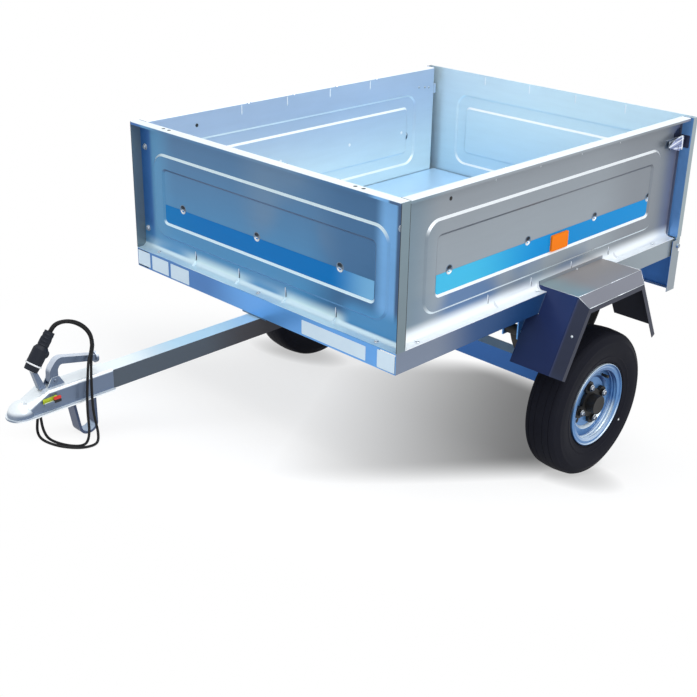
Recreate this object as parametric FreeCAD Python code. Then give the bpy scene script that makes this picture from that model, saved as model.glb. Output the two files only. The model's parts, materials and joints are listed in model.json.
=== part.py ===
import FreeCAD, Part
import math
import os

# A small two-wheeled goods trailer with pressed sheet sides, in millimetres.
# It is drawn level first: +X points to the drawbar, +Y to the trailer's left, and z = 0 is the
# underside of the chassis rails, midway along the body. The last step turns the whole trailer
# nose down about the wheels, until the stand under the drawbar meets the ground.

Vec = FreeCAD.Vector

# Body
body_length = 1200.0          # front rim edge to the inner face of the tailgate
body_width = 962.0            # over the side rims
panel_height = 348.0          # height of the pressed sides
panel_sheet = 1.2
rim_width = 29.0              # outward flange at the top and foot of each side
rim_lip = 8.0                 # downward lip along the rim's edge
bend_radius = 2.0             # inside a sheet's ordinary folds
foot_cove = 15.0              # inside the wide fold at a side's foot
floor_board = 10.0
floor_gap = 1.0               # gap round the floor board

# Pressed bands and gussets of the sides
band_margin_end = 86.0        # from a panel's end to the outer edge of its band
band_top = 76.0               # down from the rim
band_foot = 49.0              # up from the rail
band_width = 38.0
band_depth = 4.0
band_slope = 6.0              # width of the sloping edges of a band
band_radius = 42.0
field_radius = 14.0
dart_width = 16.0
dart_reach = 9.0
dart_pitch = 174.0
side_dart_shift = 40.0        # row of gussets on each side, back from its middle
dart_sheet = 2.0              # wall left between a gusset and its hollow inside

# Chassis
rail_height = 51.0
rail_flange = 50.0
rail_sheet = 2.0
rail_lip = 12.0
rear_rail_setback = 30.0      # rear rail's back face to the gate's inner face
cross_member_width = 50.0

# Drawbar
drawbar_size = 45.0
drawbar_wall = 3.0
drawbar_reach = 600.0         # from the front rim edge to the tube's front end
drawbar_tail = 585.0          # from the front rim edge back under the body
tail_margin = 25.0            # tube's rear end behind the middle of its cross member
drawbar_packer = 5.0          # plate between tube and rails

# Coupling
ball_diameter = 50.0
socket_clearance = 0.6
throat_half = 14.5            # half the hollow between the tube and the socket
coupling_length = 248.0
coupling_nose = 84.0          # nose of the coupling ahead of the tube's front end
coupling_wall = 4.0
coupling_fit = 0.3            # between the coupling and the tube
coupling_flange = 7.0         # outward flange round the coupling's open foot
coupling_shoulder = 84.0      # full height ends this far behind the nose
coupling_edge = 7.0           # rounding along the coupling's top edges
lever_width = 18.0
lever_sheet = 2.5
lever_height = 62.0
lever_reach = 107.0           # from the pivot back to the lever's end
lever_pivot_x = 112.0         # lever's pivot behind the coupling's nose
pivot_pin = 4.0
lever_pivot_rise = 12.0
button_radius = 13.0
button_depth = 6.0

throat_drop = 8.0             # roof of that hollow below the tube's top
ear_offset = 9.3              # lever's ears, each side of the middle
catch_height = 44.0

# Stand
stand_gap = 522.0             # foot's front corner ahead of the front rim edge
stand_drop = 92.0             # below the tube
stand_bar = 30.0              # width across
stand_thickness = 6.0
stand_length = 45.0           # over the foot, along the tube
stand_lean = 16.0             # front leg leans forward by this much
stand_radius = 22.0           # outside the foot's corners

# Wheels and axle
axle_setback = 706.0          # front rim edge back to the wheel centres
axle_drop = 284.0             # wheel centres below the rails
tyre_radius = 204.0
tyre_width = 110.0
wheel_out = 50.0              # middle of each tyre outside the side rims
rim_radius = 115.0            # over the rim's flanges
rim_seat_radius = 101.0
rim_well_radius = 84.0
rim_span = 92.0               # over the rim's flanges, across
rim_flange = 6.0
tyre_wall = 7.0
rim_sheet = 3.0
disc_shift = 12.0             # wheel disc outside the tyre's middle
hub_barrel = 31.0
hub_waist = 40.0
hub_lobe = 17.0
hub_flange = 9.0
hub_cap = 26.0
hub_nose = 24.0
stub_radius = 16.0
stub_clearance = 0.08
stub_length = 80.0            # depth of the hub's bore
stub_root = 70.0              # stub's inner end inside the tyre's middle
stub_flange = 16.0            # from there in to the end of the beam
stud_circle = 101.6
stud_count = 4
stud_turn = -16.0             # degrees up from straight ahead to the first stud
stud_radius = 6.0
beam_height = 56.0
beam_depth = 50.0
beam_sheet = 4.0
beam_lift = 39.0              # middle of the beam above the wheel centres
spring_half = 185.0
spring_width = 40.0
spring_leaf = 6.0
spring_in = 56.0              # middle of each spring inside the side rims
eye_radius = 14.0

# Mudguards
guard_sheet = 1.5
guard_top_half = 142.0        # half the flat top, along the trailer
guard_foot_run = 98.0         # each end slopes out by this much
guard_foot_drop = 184.0       # and down by this much
guard_flat = 121.0            # width of the flat top
guard_chamfer_out = 25.0
guard_chamfer_drop = 28.0
guard_lip = 14.0
guard_gap = 1.0               # round the rail, the side's foot and its gussets
guard_rise = 10.0             # flat top above the side's foot flange
guard_upstand = 9.0           # inner edge turned up against the side

# Tail
gate_overhang = 6.0           # gate outside the side rim, each side
gate_depth = 20.0
gate_clear = 5.0              # closed gate to the sides' rear ends
gate_foot = 21.0              # gate's lower edge above the rails' underside
pivot_x_in = 10.0             # pivot ahead of the gate's inner face
pivot_z = 27.0
pivot_radius = 4.0
pivot_clearance = 0.08
board_drop = 108.0            # lamp board below the rails
board_side = 40.0
board_top = 8.0

board_sheet = 1.5
board_lip = 12.0
board_ear_drop = 5.0          # pivots' ears end below the rails' top
gate_hem = 4.0                # folded rear edge along the gate's top
gate_lip_gap = 3.0            # gate's forward lips outside the sides' webs
gate_step = 3.0               # gate's wide part above the rails' top
ear_gap = 2.0                 # gate's ears inside its sides
ear_sheet = 3.0
lamp_depth = 34.0
lamp_width = 130.0
lamp_height = 86.0
lamp_inset = 20.0             # from the rim's edge
lamp_drop = 8.0
reflector_x = -32.0
reflector_gap = 1.0           # above the slope of the side's band
reflector_length = 70.0
reflector_height = 42.0
reflector_depth = 6.0
latch_gap = 6.0               # latch ahead of the side's rear end
latch_drop = 69.0             # middle of the latch below the rim
latch_length = 62.0
latch_width = 22.0
latch_sheet = 2.5
gauge_x = 98.0                # gauge's cap behind the coupling's nose
gauge_length = 30.0
outlet_length = 26.0
outlet_depth = 24.0

# Cables and plug as parked: hand-drawn routes from the rubber outlet to the plug
cable_diameter = 6.0
cable_spread = 5.0            # each cable beside the outlet's middle
plug_radius = 17.0
plug_length = 92.0
plug_body = 58.0              # of that, from its mouth to its waist
plug_lean = 20.1              # degrees from upright, towards the body at its top
plug_shift = 10.0             # plug beside the trailer's middle
plug_ahead = 13.5             # plug's lower end ahead of the catch's top
plug_rise = 5.4               # and above it
plug_spread = 4.0             # each cable beside the plug's axis
cable_near_route = [
    (859.9, 5, 70.7), (855.7, 5, 56.3), (851.5, 8, 40), (848.5, 13, 24.5), (846, 23, 12),
    (843.5, 36, 4.8), (839, 53, 3.5), (830, 71, 3.5), (816, 83, 3.5), (797, 88, 3.5), (779, 81, 3.5),
    (764, 68, 5), (754, 56, 14), (752, 48, 31), (758, 46, 52), (766, 46, 82), (772, 46, 111),
    (775, 44, 138), (774, 36, 165), (770, 28, 182), (763, 22, 199), (762, 20, 216),
    (767, 20, 232), (779, 19, 246), (794, 18, 256.5), (811, 16.5, 263), (829, 14.5, 265),
    (844.7, 13, 263), (857.9, 12, 258.2), (867, 12, 249.5), (871.1, 12, 238.4)]
cable_far_route = [
    (858.5, -5, 71.1), (854.3, -5, 56.7), (853, -3, 42), (854, 1, 27), (857, 9, 14.5),
    (859.5, 23, 6.5), (859, 40, 3.5), (855, 59, 3.5), (845, 77, 3.5), (828, 90, 3.5), (808, 97, 3.5),
    (786, 97, 3.5), (763, 90, 3.5), (745, 78, 4), (734, 64, 9), (731, 54, 21), (736, 48, 39),
    (746, 46, 64), (755, 43, 99), (759, 36, 134), (758, 23, 168), (755, 14, 194), (757, 12.5, 212),
    (765, 11, 229), (777, 10, 242), (792, 9, 251), (808, 8.5, 257), (823, 8, 259.5),
    (837.1, 8, 258.9), (850.3, 8, 254.8), (859.5, 8, 246.9), (863.6, 8, 235.6)]

# Derived places, trailer level
x_front = body_length / 2
x_gate = -body_length / 2
y_rim = body_width / 2
y_web = y_rim - rim_width
wheel_plane = y_rim + wheel_out
spring_y = y_rim - spring_in
z_foot = rail_height
z_rim = rail_height + panel_height
z_floor = rail_height + floor_board
foot_reach = dart_reach + foot_cove * 0.6
z_guard = z_foot + panel_sheet + guard_rise
x_web = x_front - rim_width
cross_member_x = x_front - drawbar_tail + tail_margin
x_axle = x_front - axle_setback
z_axle = -axle_drop
x_side_end = x_gate + gate_depth + gate_clear
x_rear_rail = x_gate + rear_rail_setback
y_gate = y_rim + gate_overhang
y_ear = y_gate - ear_gap
z_gate_wide = rail_height + gate_step
z_tube_top = -drawbar_packer
z_tube_foot = z_tube_top - drawbar_size
x_stand = x_front + stand_gap
z_stand = z_tube_foot - stand_drop
x_tube_end = x_front + drawbar_reach
x_tip = x_tube_end + coupling_nose
socket_radius = ball_diameter / 2 + socket_clearance
dome_radius = socket_radius + coupling_wall
x_ball = x_tip - dome_radius
z_ball = z_tube_foot + 6.0
z_coupling_top = z_tube_top + coupling_fit + coupling_wall
x_lever = x_tip - lever_pivot_x
z_lever = z_coupling_top + lever_pivot_rise
z_throat = z_tube_top - throat_drop
z_low_top = z_ball + 0.8 * dome_radius
z_catch = z_coupling_top + catch_height


def block(x0, x1, y0, y1, z0, z1):
    """A box between two values on each axis, given in either order."""
    low = Vec(min(x0, x1), min(y0, y1), min(z0, z1))
    return Part.makeBox(abs(x1 - x0), abs(y1 - y0), abs(z1 - z0), low)


def fuse(shapes):
    """One solid from shapes that touch or overlap."""
    result = shapes[0].multiFuse(shapes[1:])
    return result.removeSplitter()


def prism(points, direction):
    """Extrude a closed polygon given by its corners."""
    wire = Part.makePolygon(list(points) + [points[0]])
    return Part.Face(wire).extrude(direction)


def rod(radius, start, direction, length):
    """A round bar from a start point along a direction."""
    return Part.makeCylinder(radius, length, start, direction)


def rounded_path(points, radii, place):
    """Edges along corners in a plane, each corner rounded; place(u, v) gives the point in space."""
    marks = [Vec(u, v, 0) for u, v in points]
    edges = []
    last = marks[0]
    for i in range(1, len(marks) - 1):
        back = (marks[i - 1] - marks[i]).normalize()
        ahead = (marks[i + 1] - marks[i]).normalize()
        if radii[i] > 0:
            half = back.getAngle(ahead) / 2
            reach = radii[i] / math.tan(half)
            start = marks[i] + back * reach
            end = marks[i] + ahead * reach
            middle = (back + ahead).normalize()
            top = marks[i] + middle * (radii[i] / math.sin(half) - radii[i])
        else:
            start = marks[i]
            end = marks[i]
        if (start - last).Length > 1e-6:
            edges.append(Part.LineSegment(place(last.x, last.y), place(start.x, start.y)).toShape())
        if radii[i] > 0:
            marks3 = [place(m.x, m.y) for m in (start, top, end)]
            edges.append(Part.Arc(*marks3).toShape())
        last = end
    edges.append(Part.LineSegment(place(last.x, last.y), place(marks[-1].x, marks[-1].y)).toShape())
    return edges


def folded(path, sheet, radii, place, direction):
    """Sheet folded along a path of (u, v) corners, as thick as the sheet on the path's left.

    Each radius is the one inside that fold.
    """
    marks = [Vec(u, v, 0) for u, v in path]
    runs = [(b - a).normalize() for a, b in zip(marks, marks[1:])]
    lefts = [Vec(-run.y, run.x, 0) for run in runs]
    offset = [marks[0] + lefts[0] * sheet]
    near = [0.0]
    far = [0.0]
    for i in range(1, len(marks) - 1):
        turn = runs[i - 1].x * runs[i].y - runs[i - 1].y * runs[i].x
        bisector = (lefts[i - 1] + lefts[i]).normalize()
        offset.append(marks[i] + bisector * (sheet / bisector.dot(lefts[i])))
        near.append(radii[i - 1] + (sheet if turn > 0 else 0.0))
        far.append(radii[i - 1] + (0.0 if turn > 0 else sheet))
    offset.append(marks[-1] + lefts[-1] * sheet)
    outline = path + [(m.x, m.y) for m in reversed(offset)]
    rounds = near + [0.0, 0.0] + list(reversed(far[1:])) + [0.0]
    edges = rounded_path(outline + [outline[0]], rounds + [0.0], place)
    return Part.Face(Part.Wire(edges)).extrude(direction)


def mirrored(shape):
    """The same piece on the trailer's other side."""
    return shape.mirror(Vec(0, 0, 0), Vec(0, 1, 0))


def rounded_face(half_u, v0, v1, radius, place):
    """A rounded rectangle face; place(u, v) gives the point in space."""
    def arc(u, v, a0):
        mid = [math.cos(math.radians(a0 + 45)), math.sin(math.radians(a0 + 45))]
        end = [math.cos(math.radians(a0 + 90)), math.sin(math.radians(a0 + 90))]
        start = [math.cos(math.radians(a0)), math.sin(math.radians(a0))]
        points = [place(u + radius * c, v + radius * s) for c, s in (start, mid, end)]
        return Part.Arc(*points).toShape(), points[0], points[2]
    arcs = [arc(half_u - radius, v1 - radius, 0), arc(-half_u + radius, v1 - radius, 90),
            arc(-half_u + radius, v0 + radius, 180), arc(half_u - radius, v0 + radius, 270)]
    edges = []
    for i, (edge, _, end) in enumerate(arcs):
        edges.append(edge)
        edges.append(Part.LineSegment(end, arcs[(i + 1) % 4][1]).toShape())
    return Part.Face(Part.Wire(edges))


def pressed_band(web, half, z0, z1, place, out):
    """Raise a band with sloping edges round a sheet panel's field, as a press would."""
    def mound(half_u, v0, v1, radius, lean):
        """Block from the sheet's outer face to the band's top, wider at its base by twice lean."""
        wires = []
        for grow, depth in ((lean, panel_sheet), (-lean, panel_sheet + band_depth)):
            face = rounded_face(half_u + grow, v0 - grow, v1 + grow, radius + grow, place)
            face.translate(out * depth)
            wires.append(face.OuterWire)
        return Part.makeLoft(wires, True, True)
    outer = mound(half, z0, z1, band_radius, band_slope / 2)
    inner = mound(half - band_width, z0 + band_width, z1 - band_width, field_radius, -band_slope / 2)
    band = outer.cut(inner)
    raised = web.fuse(band)
    band.translate(out * -panel_sheet)
    return raised.cut(band).removeSplitter()


def wedge(centre, along, out, up, half, reach):
    """Three-sided block in a fold: as deep along out as it is high along up."""
    base = [centre - along * half, centre + along * half, centre + out * reach]
    top = centre + up * reach
    corners = [base, [base[0], base[1], top], [base[1], base[2], top], [base[2], base[0], top]]
    return Part.Solid(Part.Shell([Part.Face(Part.makePolygon(c + [c[0]])) for c in corners]))


def add_darts(panel, places, along, out):
    """Press gussets into the folds at a panel's foot and head, hollow on the load's side."""
    raised = []
    hollows = []
    for place in places:
        for level, up, reach in ((z_foot, Vec(0, 0, 1), foot_reach), (z_rim, Vec(0, 0, -1), dart_reach)):
            corner = place + Vec(0, 0, level)
            raised.append(wedge(corner, along, out, up, dart_width / 2, reach))
            shrink = dart_sheet * 2.4
            hollows.append(wedge(corner - out * 0.01 - up * 0.01, along, out, up,
                                 dart_width / 2 - dart_sheet, reach - shrink))
    solid = panel.multiFuse(raised)
    return solid.cut(Part.makeCompound(hollows)).removeSplitter()


def upright_path(depth, sheet):
    """Corners of an upright sheet from its foot's edge to its rim's lip, in (out, z)."""
    return [(depth, z_foot), (0, z_foot), (0, z_rim), (depth, z_rim), (depth, z_rim - rim_lip)]


def upright_radii():
    """Fold radii of an upright sheet: wide at the foot, ordinary elsewhere."""
    return [foot_cove, bend_radius, bend_radius / 2]


def make_front_panel():
    """Front of the load space: a tray with its flanges turned forward."""
    sheet = panel_sheet
    x_in = x_web - sheet
    panel = folded([(u, v) for u, v in reversed(upright_path(rim_width + sheet, sheet))], sheet,
                   list(reversed(upright_radii())), lambda u, v: Vec(x_in + u, -y_rim, v),
                   Vec(0, 2 * y_rim, 0))
    panel = pressed_band(panel, y_rim - band_margin_end + rim_width, z_foot + band_foot,
                         z_rim - band_top, lambda u, v: Vec(x_in, u, v), Vec(1, 0, 0))
    sides = [block(x_in, x_front, side * y_rim, side * (y_rim - sheet), z_foot, z_rim)
             for side in (-1, 1)]
    panel = fuse([panel] + sides)
    places = [Vec(x_in, step * dart_pitch, 0) for step in (-1.5, -0.5, 0.5, 1.5)]
    return add_darts(panel, places, Vec(0, 1, 0), Vec(1, 0, 0))


def side_dart_places():
    """Where the gussets of the left side stand along its foot."""
    middle = (x_side_end + x_web - panel_sheet) / 2 - side_dart_shift
    return [Vec(middle + step * dart_pitch, y_web - panel_sheet, 0)
            for step in (-1.5, -0.5, 0.5, 1.5)]


def make_side_panel():
    """Left side of the load space: rim, foot flange and end flanges turned outward."""
    sheet = panel_sheet
    x0 = x_side_end
    x1 = x_web - sheet
    y_in = y_web - sheet
    panel = folded(list(reversed(upright_path(rim_width + sheet, sheet))), sheet,
                   list(reversed(upright_radii())), lambda u, v: Vec(x0, y_in + u, v),
                   Vec(x1 - x0, 0, 0))
    middle = (x0 + x1) / 2
    half = (x1 - x0) / 2 - band_margin_end
    panel = pressed_band(panel, half, z_foot + band_foot, z_rim - band_top,
                         lambda u, v: Vec(middle - u, y_in, v), Vec(0, 1, 0))
    ends = [block(x1 - sheet, x1, y_in, y_rim - sheet, z_foot, z_rim),
            block(x0, x0 + sheet, y_in, y_in + rim_lip, z_foot, z_rim)]
    panel = fuse([panel] + ends)
    return add_darts(panel, side_dart_places(), Vec(1, 0, 0), Vec(0, 1, 0))


def make_floor():
    """Floor board lying on the rails, inside the sides."""
    y = y_web - panel_sheet - floor_gap
    return block(x_gate + gate_clear + floor_gap, x_web - panel_sheet - floor_gap, -y, y,
                 rail_height, z_floor)


def rail_section(start, inward, run):
    """Folded channel: upright web outside, flanges turned inward and a lip on the lower one."""
    flange = rail_flange
    sheet = rail_sheet
    outline = [(0, 0), (flange, 0), (flange, rail_lip), (flange - sheet, rail_lip),
               (flange - sheet, sheet), (sheet, sheet), (sheet, rail_height - sheet),
               (flange, rail_height - sheet), (flange, rail_height), (0, rail_height)]
    points = [start + inward * u + Vec(0, 0, v) for u, v in outline]
    return prism(points, run)


def make_side_rail():
    """Left chassis rail, the full length of the floor."""
    start = Vec(x_rear_rail, y_rim, 0)
    return rail_section(start, Vec(0, -1, 0), Vec(x_front - x_rear_rail, 0, 0))


def make_end_rail(x_face, inward):
    """Front or rear chassis rail, fitted between the side rails."""
    y = y_rim - rail_flange
    return rail_section(Vec(x_face, -y, 0), Vec(inward, 0, 0), Vec(0, 2 * y, 0))


def make_cross_member():
    """Channel across the chassis that carries the tube's rear end."""
    y = y_rim - rail_flange
    half = cross_member_width / 2
    outer = block(cross_member_x - half, cross_member_x + half, -y, y, 0, rail_height)
    inner = block(cross_member_x - half + rail_sheet, cross_member_x + half - rail_sheet,
                  -y, y, rail_sheet, rail_height - rail_sheet)
    return outer.cut(inner)


def make_drawbar():
    """Square tube under the middle of the chassis."""
    half = drawbar_size / 2
    x0 = x_front - drawbar_tail
    x1 = x_front + drawbar_reach
    outer = block(x0, x1, -half, half, z_tube_foot, z_tube_top)
    hole = half - drawbar_wall
    inner = block(x0, x1, -hole, hole, z_tube_foot + drawbar_wall, z_tube_top - drawbar_wall)
    return outer.cut(inner)


def make_drawbar_packer():
    """Plates between the tube and the two members that it is bolted to."""
    half = drawbar_size / 2 + 22
    front = block(x_front - rail_flange, x_front - rail_sheet, -half, half, z_tube_top, 0)
    rear = block(cross_member_x - cross_member_width / 2, cross_member_x + cross_member_width / 2,
                 -half, half, z_tube_top, 0)
    return front, rear


def hood(x, half, top, rounding):
    """Cross-section of the coupling's shell: flat foot and rounded top edges."""
    corners = [(0, z_tube_foot), (-half, z_tube_foot), (-half, top), (half, top),
               (half, z_tube_foot), (0, z_tube_foot)]
    radii = [0, 0, rounding, rounding, 0, 0]
    return Part.Wire(rounded_path(corners, radii, lambda u, v: Vec(x, u, v)))


def throat_block(x0, x1, half, z0, clear):
    """Block under the coupling's roof, its top sloping down with the roof."""
    def roof(x):
        share = (x - x_tube_end) / (x_ball - x_tube_end)
        return z_throat - clear - share * (z_coupling_top - z_low_top)
    return prism([Vec(x0, -half, z0), Vec(x1, -half, z0), Vec(x1, -half, roof(x1)),
                  Vec(x0, -half, roof(x0))], Vec(0, 2 * half, 0))


def make_coupling():
    """Ball coupling: a pressed channel over the tube's end that narrows down to the ball socket."""
    x_back = x_tip - coupling_length
    x_shoulder = x_tip - coupling_shoulder
    half = drawbar_size / 2 + coupling_fit + coupling_wall
    channel = Part.Face(hood(x_back, half, z_coupling_top, coupling_edge))
    channel = channel.extrude(Vec(x_shoulder - x_back, 0, 0))
    shoulder = Part.makeLoft([hood(x_shoulder, half, z_coupling_top, coupling_edge),
                              hood(x_ball, 0.86 * dome_radius, z_low_top, 3 * coupling_edge)],
                             True, True)
    head = Part.makeSphere(dome_radius, Vec(x_ball, 0, z_ball))
    head = head.cut(block(x_ball - 2 * dome_radius, x_tip + 1, -2 * dome_radius, 2 * dome_radius,
                          z_ball, z_ball - 2 * dome_radius))
    depth = z_ball - z_tube_foot
    skirt = rod(dome_radius, Vec(x_ball, 0, z_tube_foot), Vec(0, 0, 1), depth)
    wide = half + coupling_flange
    lip = block(x_back, x_ball, -wide, wide, z_tube_foot, z_tube_foot + coupling_wall)
    collar = rod(wide, Vec(x_ball, 0, z_tube_foot), Vec(0, 0, 1), coupling_wall)
    solid = fuse([channel, shoulder, head, skirt, lip, collar])
    gap = drawbar_size / 2 + coupling_fit
    solid = solid.cut(block(x_back - 1, x_tube_end + coupling_fit, -gap, gap, z_tube_foot - 1,
                            z_tube_top + coupling_fit))
    solid = solid.cut(throat_block(x_tube_end, x_ball, throat_half, z_tube_foot - 1, 0))
    solid = solid.cut(Part.makeSphere(socket_radius, Vec(x_ball, 0, z_ball)))
    mouth = Vec(x_ball, 0, z_tube_foot - 1)
    solid = solid.cut(rod(socket_radius, mouth, Vec(0, 0, 1), depth + 1))
    ears = [prism([Vec(x_lever - 22, y, z_coupling_top - 1), Vec(x_lever + 22, y, z_coupling_top - 1),
                   Vec(x_lever + 9, y, z_lever + 8), Vec(x_lever - 9, y, z_lever + 8)],
                  Vec(0, lever_sheet, 0))
            for y in (-ear_offset - lever_sheet, ear_offset)]
    hole = rod(pivot_pin + 0.3, Vec(x_lever, -half, z_lever), Vec(0, 1, 0), 2 * half)
    return fuse([solid] + ears).cut(hole)


def lever_outline(inset):
    """Side view of the lever: up from its pivot and back along the tube, in (x, z)."""
    x0 = x_lever
    z0 = z_lever
    top = z_coupling_top + lever_height
    corners = [(x0 - 9 + inset, z0 - 8), (x0 + 13 - inset, z0 - 8), (x0 + 10 - inset, top - 24),
               (x0 - 12, top - inset), (x0 - lever_reach, top - 23 - inset),
               (x0 - lever_reach, top - 37), (x0 - 16, top - 17), (x0 - 9 + inset, z0 + 22)]
    return corners, [0, 6 - inset, 26 - inset, 22 - inset, 2, 2, 9, 12]


def make_coupling_handle():
    """Lever that frees the ball: a bent channel on a pivot, with a push button at its end."""
    half = lever_width / 2

    def solid_of(inset, width):
        corners, radii = lever_outline(inset)
        start = ((corners[-1][0] + corners[0][0]) / 2, (corners[-1][1] + corners[0][1]) / 2)
        path = [start] + corners + [start]
        edges = rounded_path(path, [0] + radii + [0], lambda u, v: Vec(u, -width, v))
        return Part.Face(Part.Wire(edges)).extrude(Vec(0, 2 * width, 0))
    shell = solid_of(0, half)
    hollow = solid_of(lever_sheet, half - lever_sheet)
    drop = Vec(-1.5 * lever_sheet, 0, -1.5 * lever_sheet)
    hollow = hollow.fuse(hollow.translated(drop))
    shell = shell.cut(hollow)
    top = z_coupling_top + lever_height
    x_end = x_lever - lever_reach
    button = rod(button_radius, Vec(x_end - button_depth + 1, 0, top - 31), Vec(1, 0, 0),
                 button_depth)
    pivot = rod(pivot_pin, Vec(x_lever, -ear_offset - 2 * lever_sheet, z_lever), Vec(0, 1, 0),
                2 * ear_offset + 4 * lever_sheet)
    return fuse([shell, button, pivot])


def make_coupling_latch():
    """Spring catch standing ahead of the lever on the coupling."""
    x0 = x_lever + 22
    return prism([Vec(x0, -7, z_coupling_top), Vec(x0 + 16, -7, z_coupling_top),
                  Vec(x0 + 28, -7, z_catch), Vec(x0 + 18, -7, z_catch)], Vec(0, 14, 0))


def make_stand():
    """U-shaped flat bar under the tube, its front leg leaning forward."""
    x_foot = x_stand - stand_length
    path = [(x_stand + stand_lean, z_tube_foot), (x_stand, z_stand), (x_foot, z_stand),
            (x_foot, z_tube_foot)]
    inside = stand_radius - stand_thickness
    path.reverse()
    hoop = folded(path, stand_thickness, [inside, inside],
                  lambda u, v: Vec(u, -stand_bar / 2, v), Vec(0, stand_bar, 0))
    return hoop.cut(block(x_foot - 10, x_stand + 2 * stand_lean, -stand_bar, stand_bar,
                          z_tube_foot, z_tube_top))


def revolve_y(points, y0):
    """Turn an outline of (radius, across) points round the wheel's axis."""
    profile = [Vec(0, y0 + a, r) for r, a in points]
    face = Part.Face(Part.makePolygon(profile + [profile[0]]))
    solid = face.revolve(Vec(0, 0, 0), Vec(0, 1, 0), 360)
    solid.translate(Vec(x_axle, 0, z_axle))
    return solid


def make_tyre():
    """Left tyre: round shoulders and full sidewalls, seated on the rim."""
    half = tyre_width / 2
    seat = rim_span / 2 - rim_flange - 0.4
    bulge = rim_radius + 0.5 * (tyre_radius - rim_radius)
    outer = [(rim_seat_radius, seat), (rim_radius + 1, seat), (bulge - 18, half - 4),
             (bulge + 12, half), (tyre_radius * 0.965, half * 0.84),
             (tyre_radius, half * 0.45)]
    inner = [(bulge, half - tyre_wall), (tyre_radius - 2 * tyre_wall, half * 0.55)]
    bead = (rim_seat_radius, seat - 10)
    points = outer + [(r, -a) for r, a in reversed(outer)]
    points += [(bead[0], -bead[1])] + [(r, -a) for r, a in inner]
    points += [(r, a) for r, a in reversed(inner)] + [bead]
    return revolve_y(points, wheel_plane)


def stud_places(y):
    """Middles of the wheel studs at a distance across."""
    first = math.radians(stud_turn)
    turns = [first + 2 * math.pi / stud_count * i for i in range(stud_count)]
    return [Vec(x_axle + stud_circle / 2 * math.cos(a), y, z_axle + stud_circle / 2 * math.sin(a))
            for a in turns]


def make_rim():
    """Left wheel: pressed well-base rim with a dished disc inside."""
    half = rim_span / 2
    seat = rim_seat_radius - 0.3
    well = rim_well_radius
    outside = [(rim_radius, -half), (rim_radius, -half + rim_flange), (seat, -half + rim_flange),
               (seat, -half + 26), (well, -half + 34), (well, half - 40), (seat, half - 30),
               (seat, half - rim_flange), (rim_radius, half - rim_flange), (rim_radius, half)]
    inside = [(r - rim_sheet, a + math.copysign(rim_sheet, a)) for r, a in reversed(outside[1:-1])]
    inside = [(rim_radius - rim_sheet, half)] + inside + [(rim_radius - rim_sheet, -half)]
    barrel = revolve_y(outside + inside, wheel_plane)
    y0 = disc_shift
    edge = seat - rim_sheet + 1
    flat = stud_circle / 2 + hub_lobe + 1.5
    disc = revolve_y([(hub_barrel + 0.3, y0), (flat + 1, y0), (flat + 9, y0 + 8),
                      (edge, y0 + 4), (edge, y0 + 8), (flat + 7, y0 + 12),
                      (flat, y0 + 4), (hub_barrel + 0.3, y0 + 4)], wheel_plane)
    solid = fuse([barrel, disc])
    for at in stud_places(wheel_plane + y0 - 5):
        solid = solid.cut(rod(stud_radius + 0.3, at, Vec(0, 1, 0), 20))
    return solid


def make_hub():
    """Left hub: bearing barrel through the disc, lobed flange outside it, studs and cap."""
    y0 = wheel_plane + disc_shift + 4.3
    y_in = wheel_plane - 54
    axis = Vec(0, 1, 0)
    pieces = [rod(hub_barrel, Vec(x_axle, y_in, z_axle), axis, y0 - y_in + 1),
              rod(hub_waist, Vec(x_axle, y0, z_axle), axis, hub_flange),
              rod(hub_cap, Vec(x_axle, y0 + 1, z_axle), axis, hub_flange + hub_nose)]
    for at in stud_places(y0):
        pieces.append(rod(hub_lobe, at, axis, hub_flange))
        pieces.append(rod(stud_radius, at - axis * 12, axis, hub_flange + 18))
        pieces.append(rod(1.6 * stud_radius, at, axis, hub_flange + 7))
    solid = fuse(pieces)
    bore = rod(stub_radius + stub_clearance, Vec(x_axle, y_in - 1, z_axle), axis, stub_length)
    return solid.cut(bore)


def make_stub_axle():
    """Left stub axle with the plate that drops it below the beam."""
    y_end = wheel_plane - stub_root
    plate = block(x_axle - 30, x_axle + 30, y_end - stub_flange, y_end - stub_flange / 2, z_axle - 28,
                  z_axle + beam_lift + beam_height / 2)
    collar = rod(24, Vec(x_axle, y_end - stub_flange / 2, z_axle), Vec(0, 1, 0), 12)
    stub = rod(stub_radius, Vec(x_axle, y_end, z_axle), Vec(0, 1, 0), stub_length + 10)
    return fuse([plate, collar, stub])


def make_axle_beam():
    """Folded channel from wheel to wheel."""
    y = wheel_plane - stub_root - stub_flange
    z0 = z_axle + beam_lift - beam_height / 2
    outer = block(x_axle - beam_depth / 2, x_axle + beam_depth / 2, -y, y, z0, z0 + beam_height)
    inner = block(x_axle - beam_depth / 2, x_axle + beam_depth / 2 - beam_sheet, -y, y,
                  z0 + beam_sheet, z0 + beam_height - beam_sheet)
    return outer.cut(inner)


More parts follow.
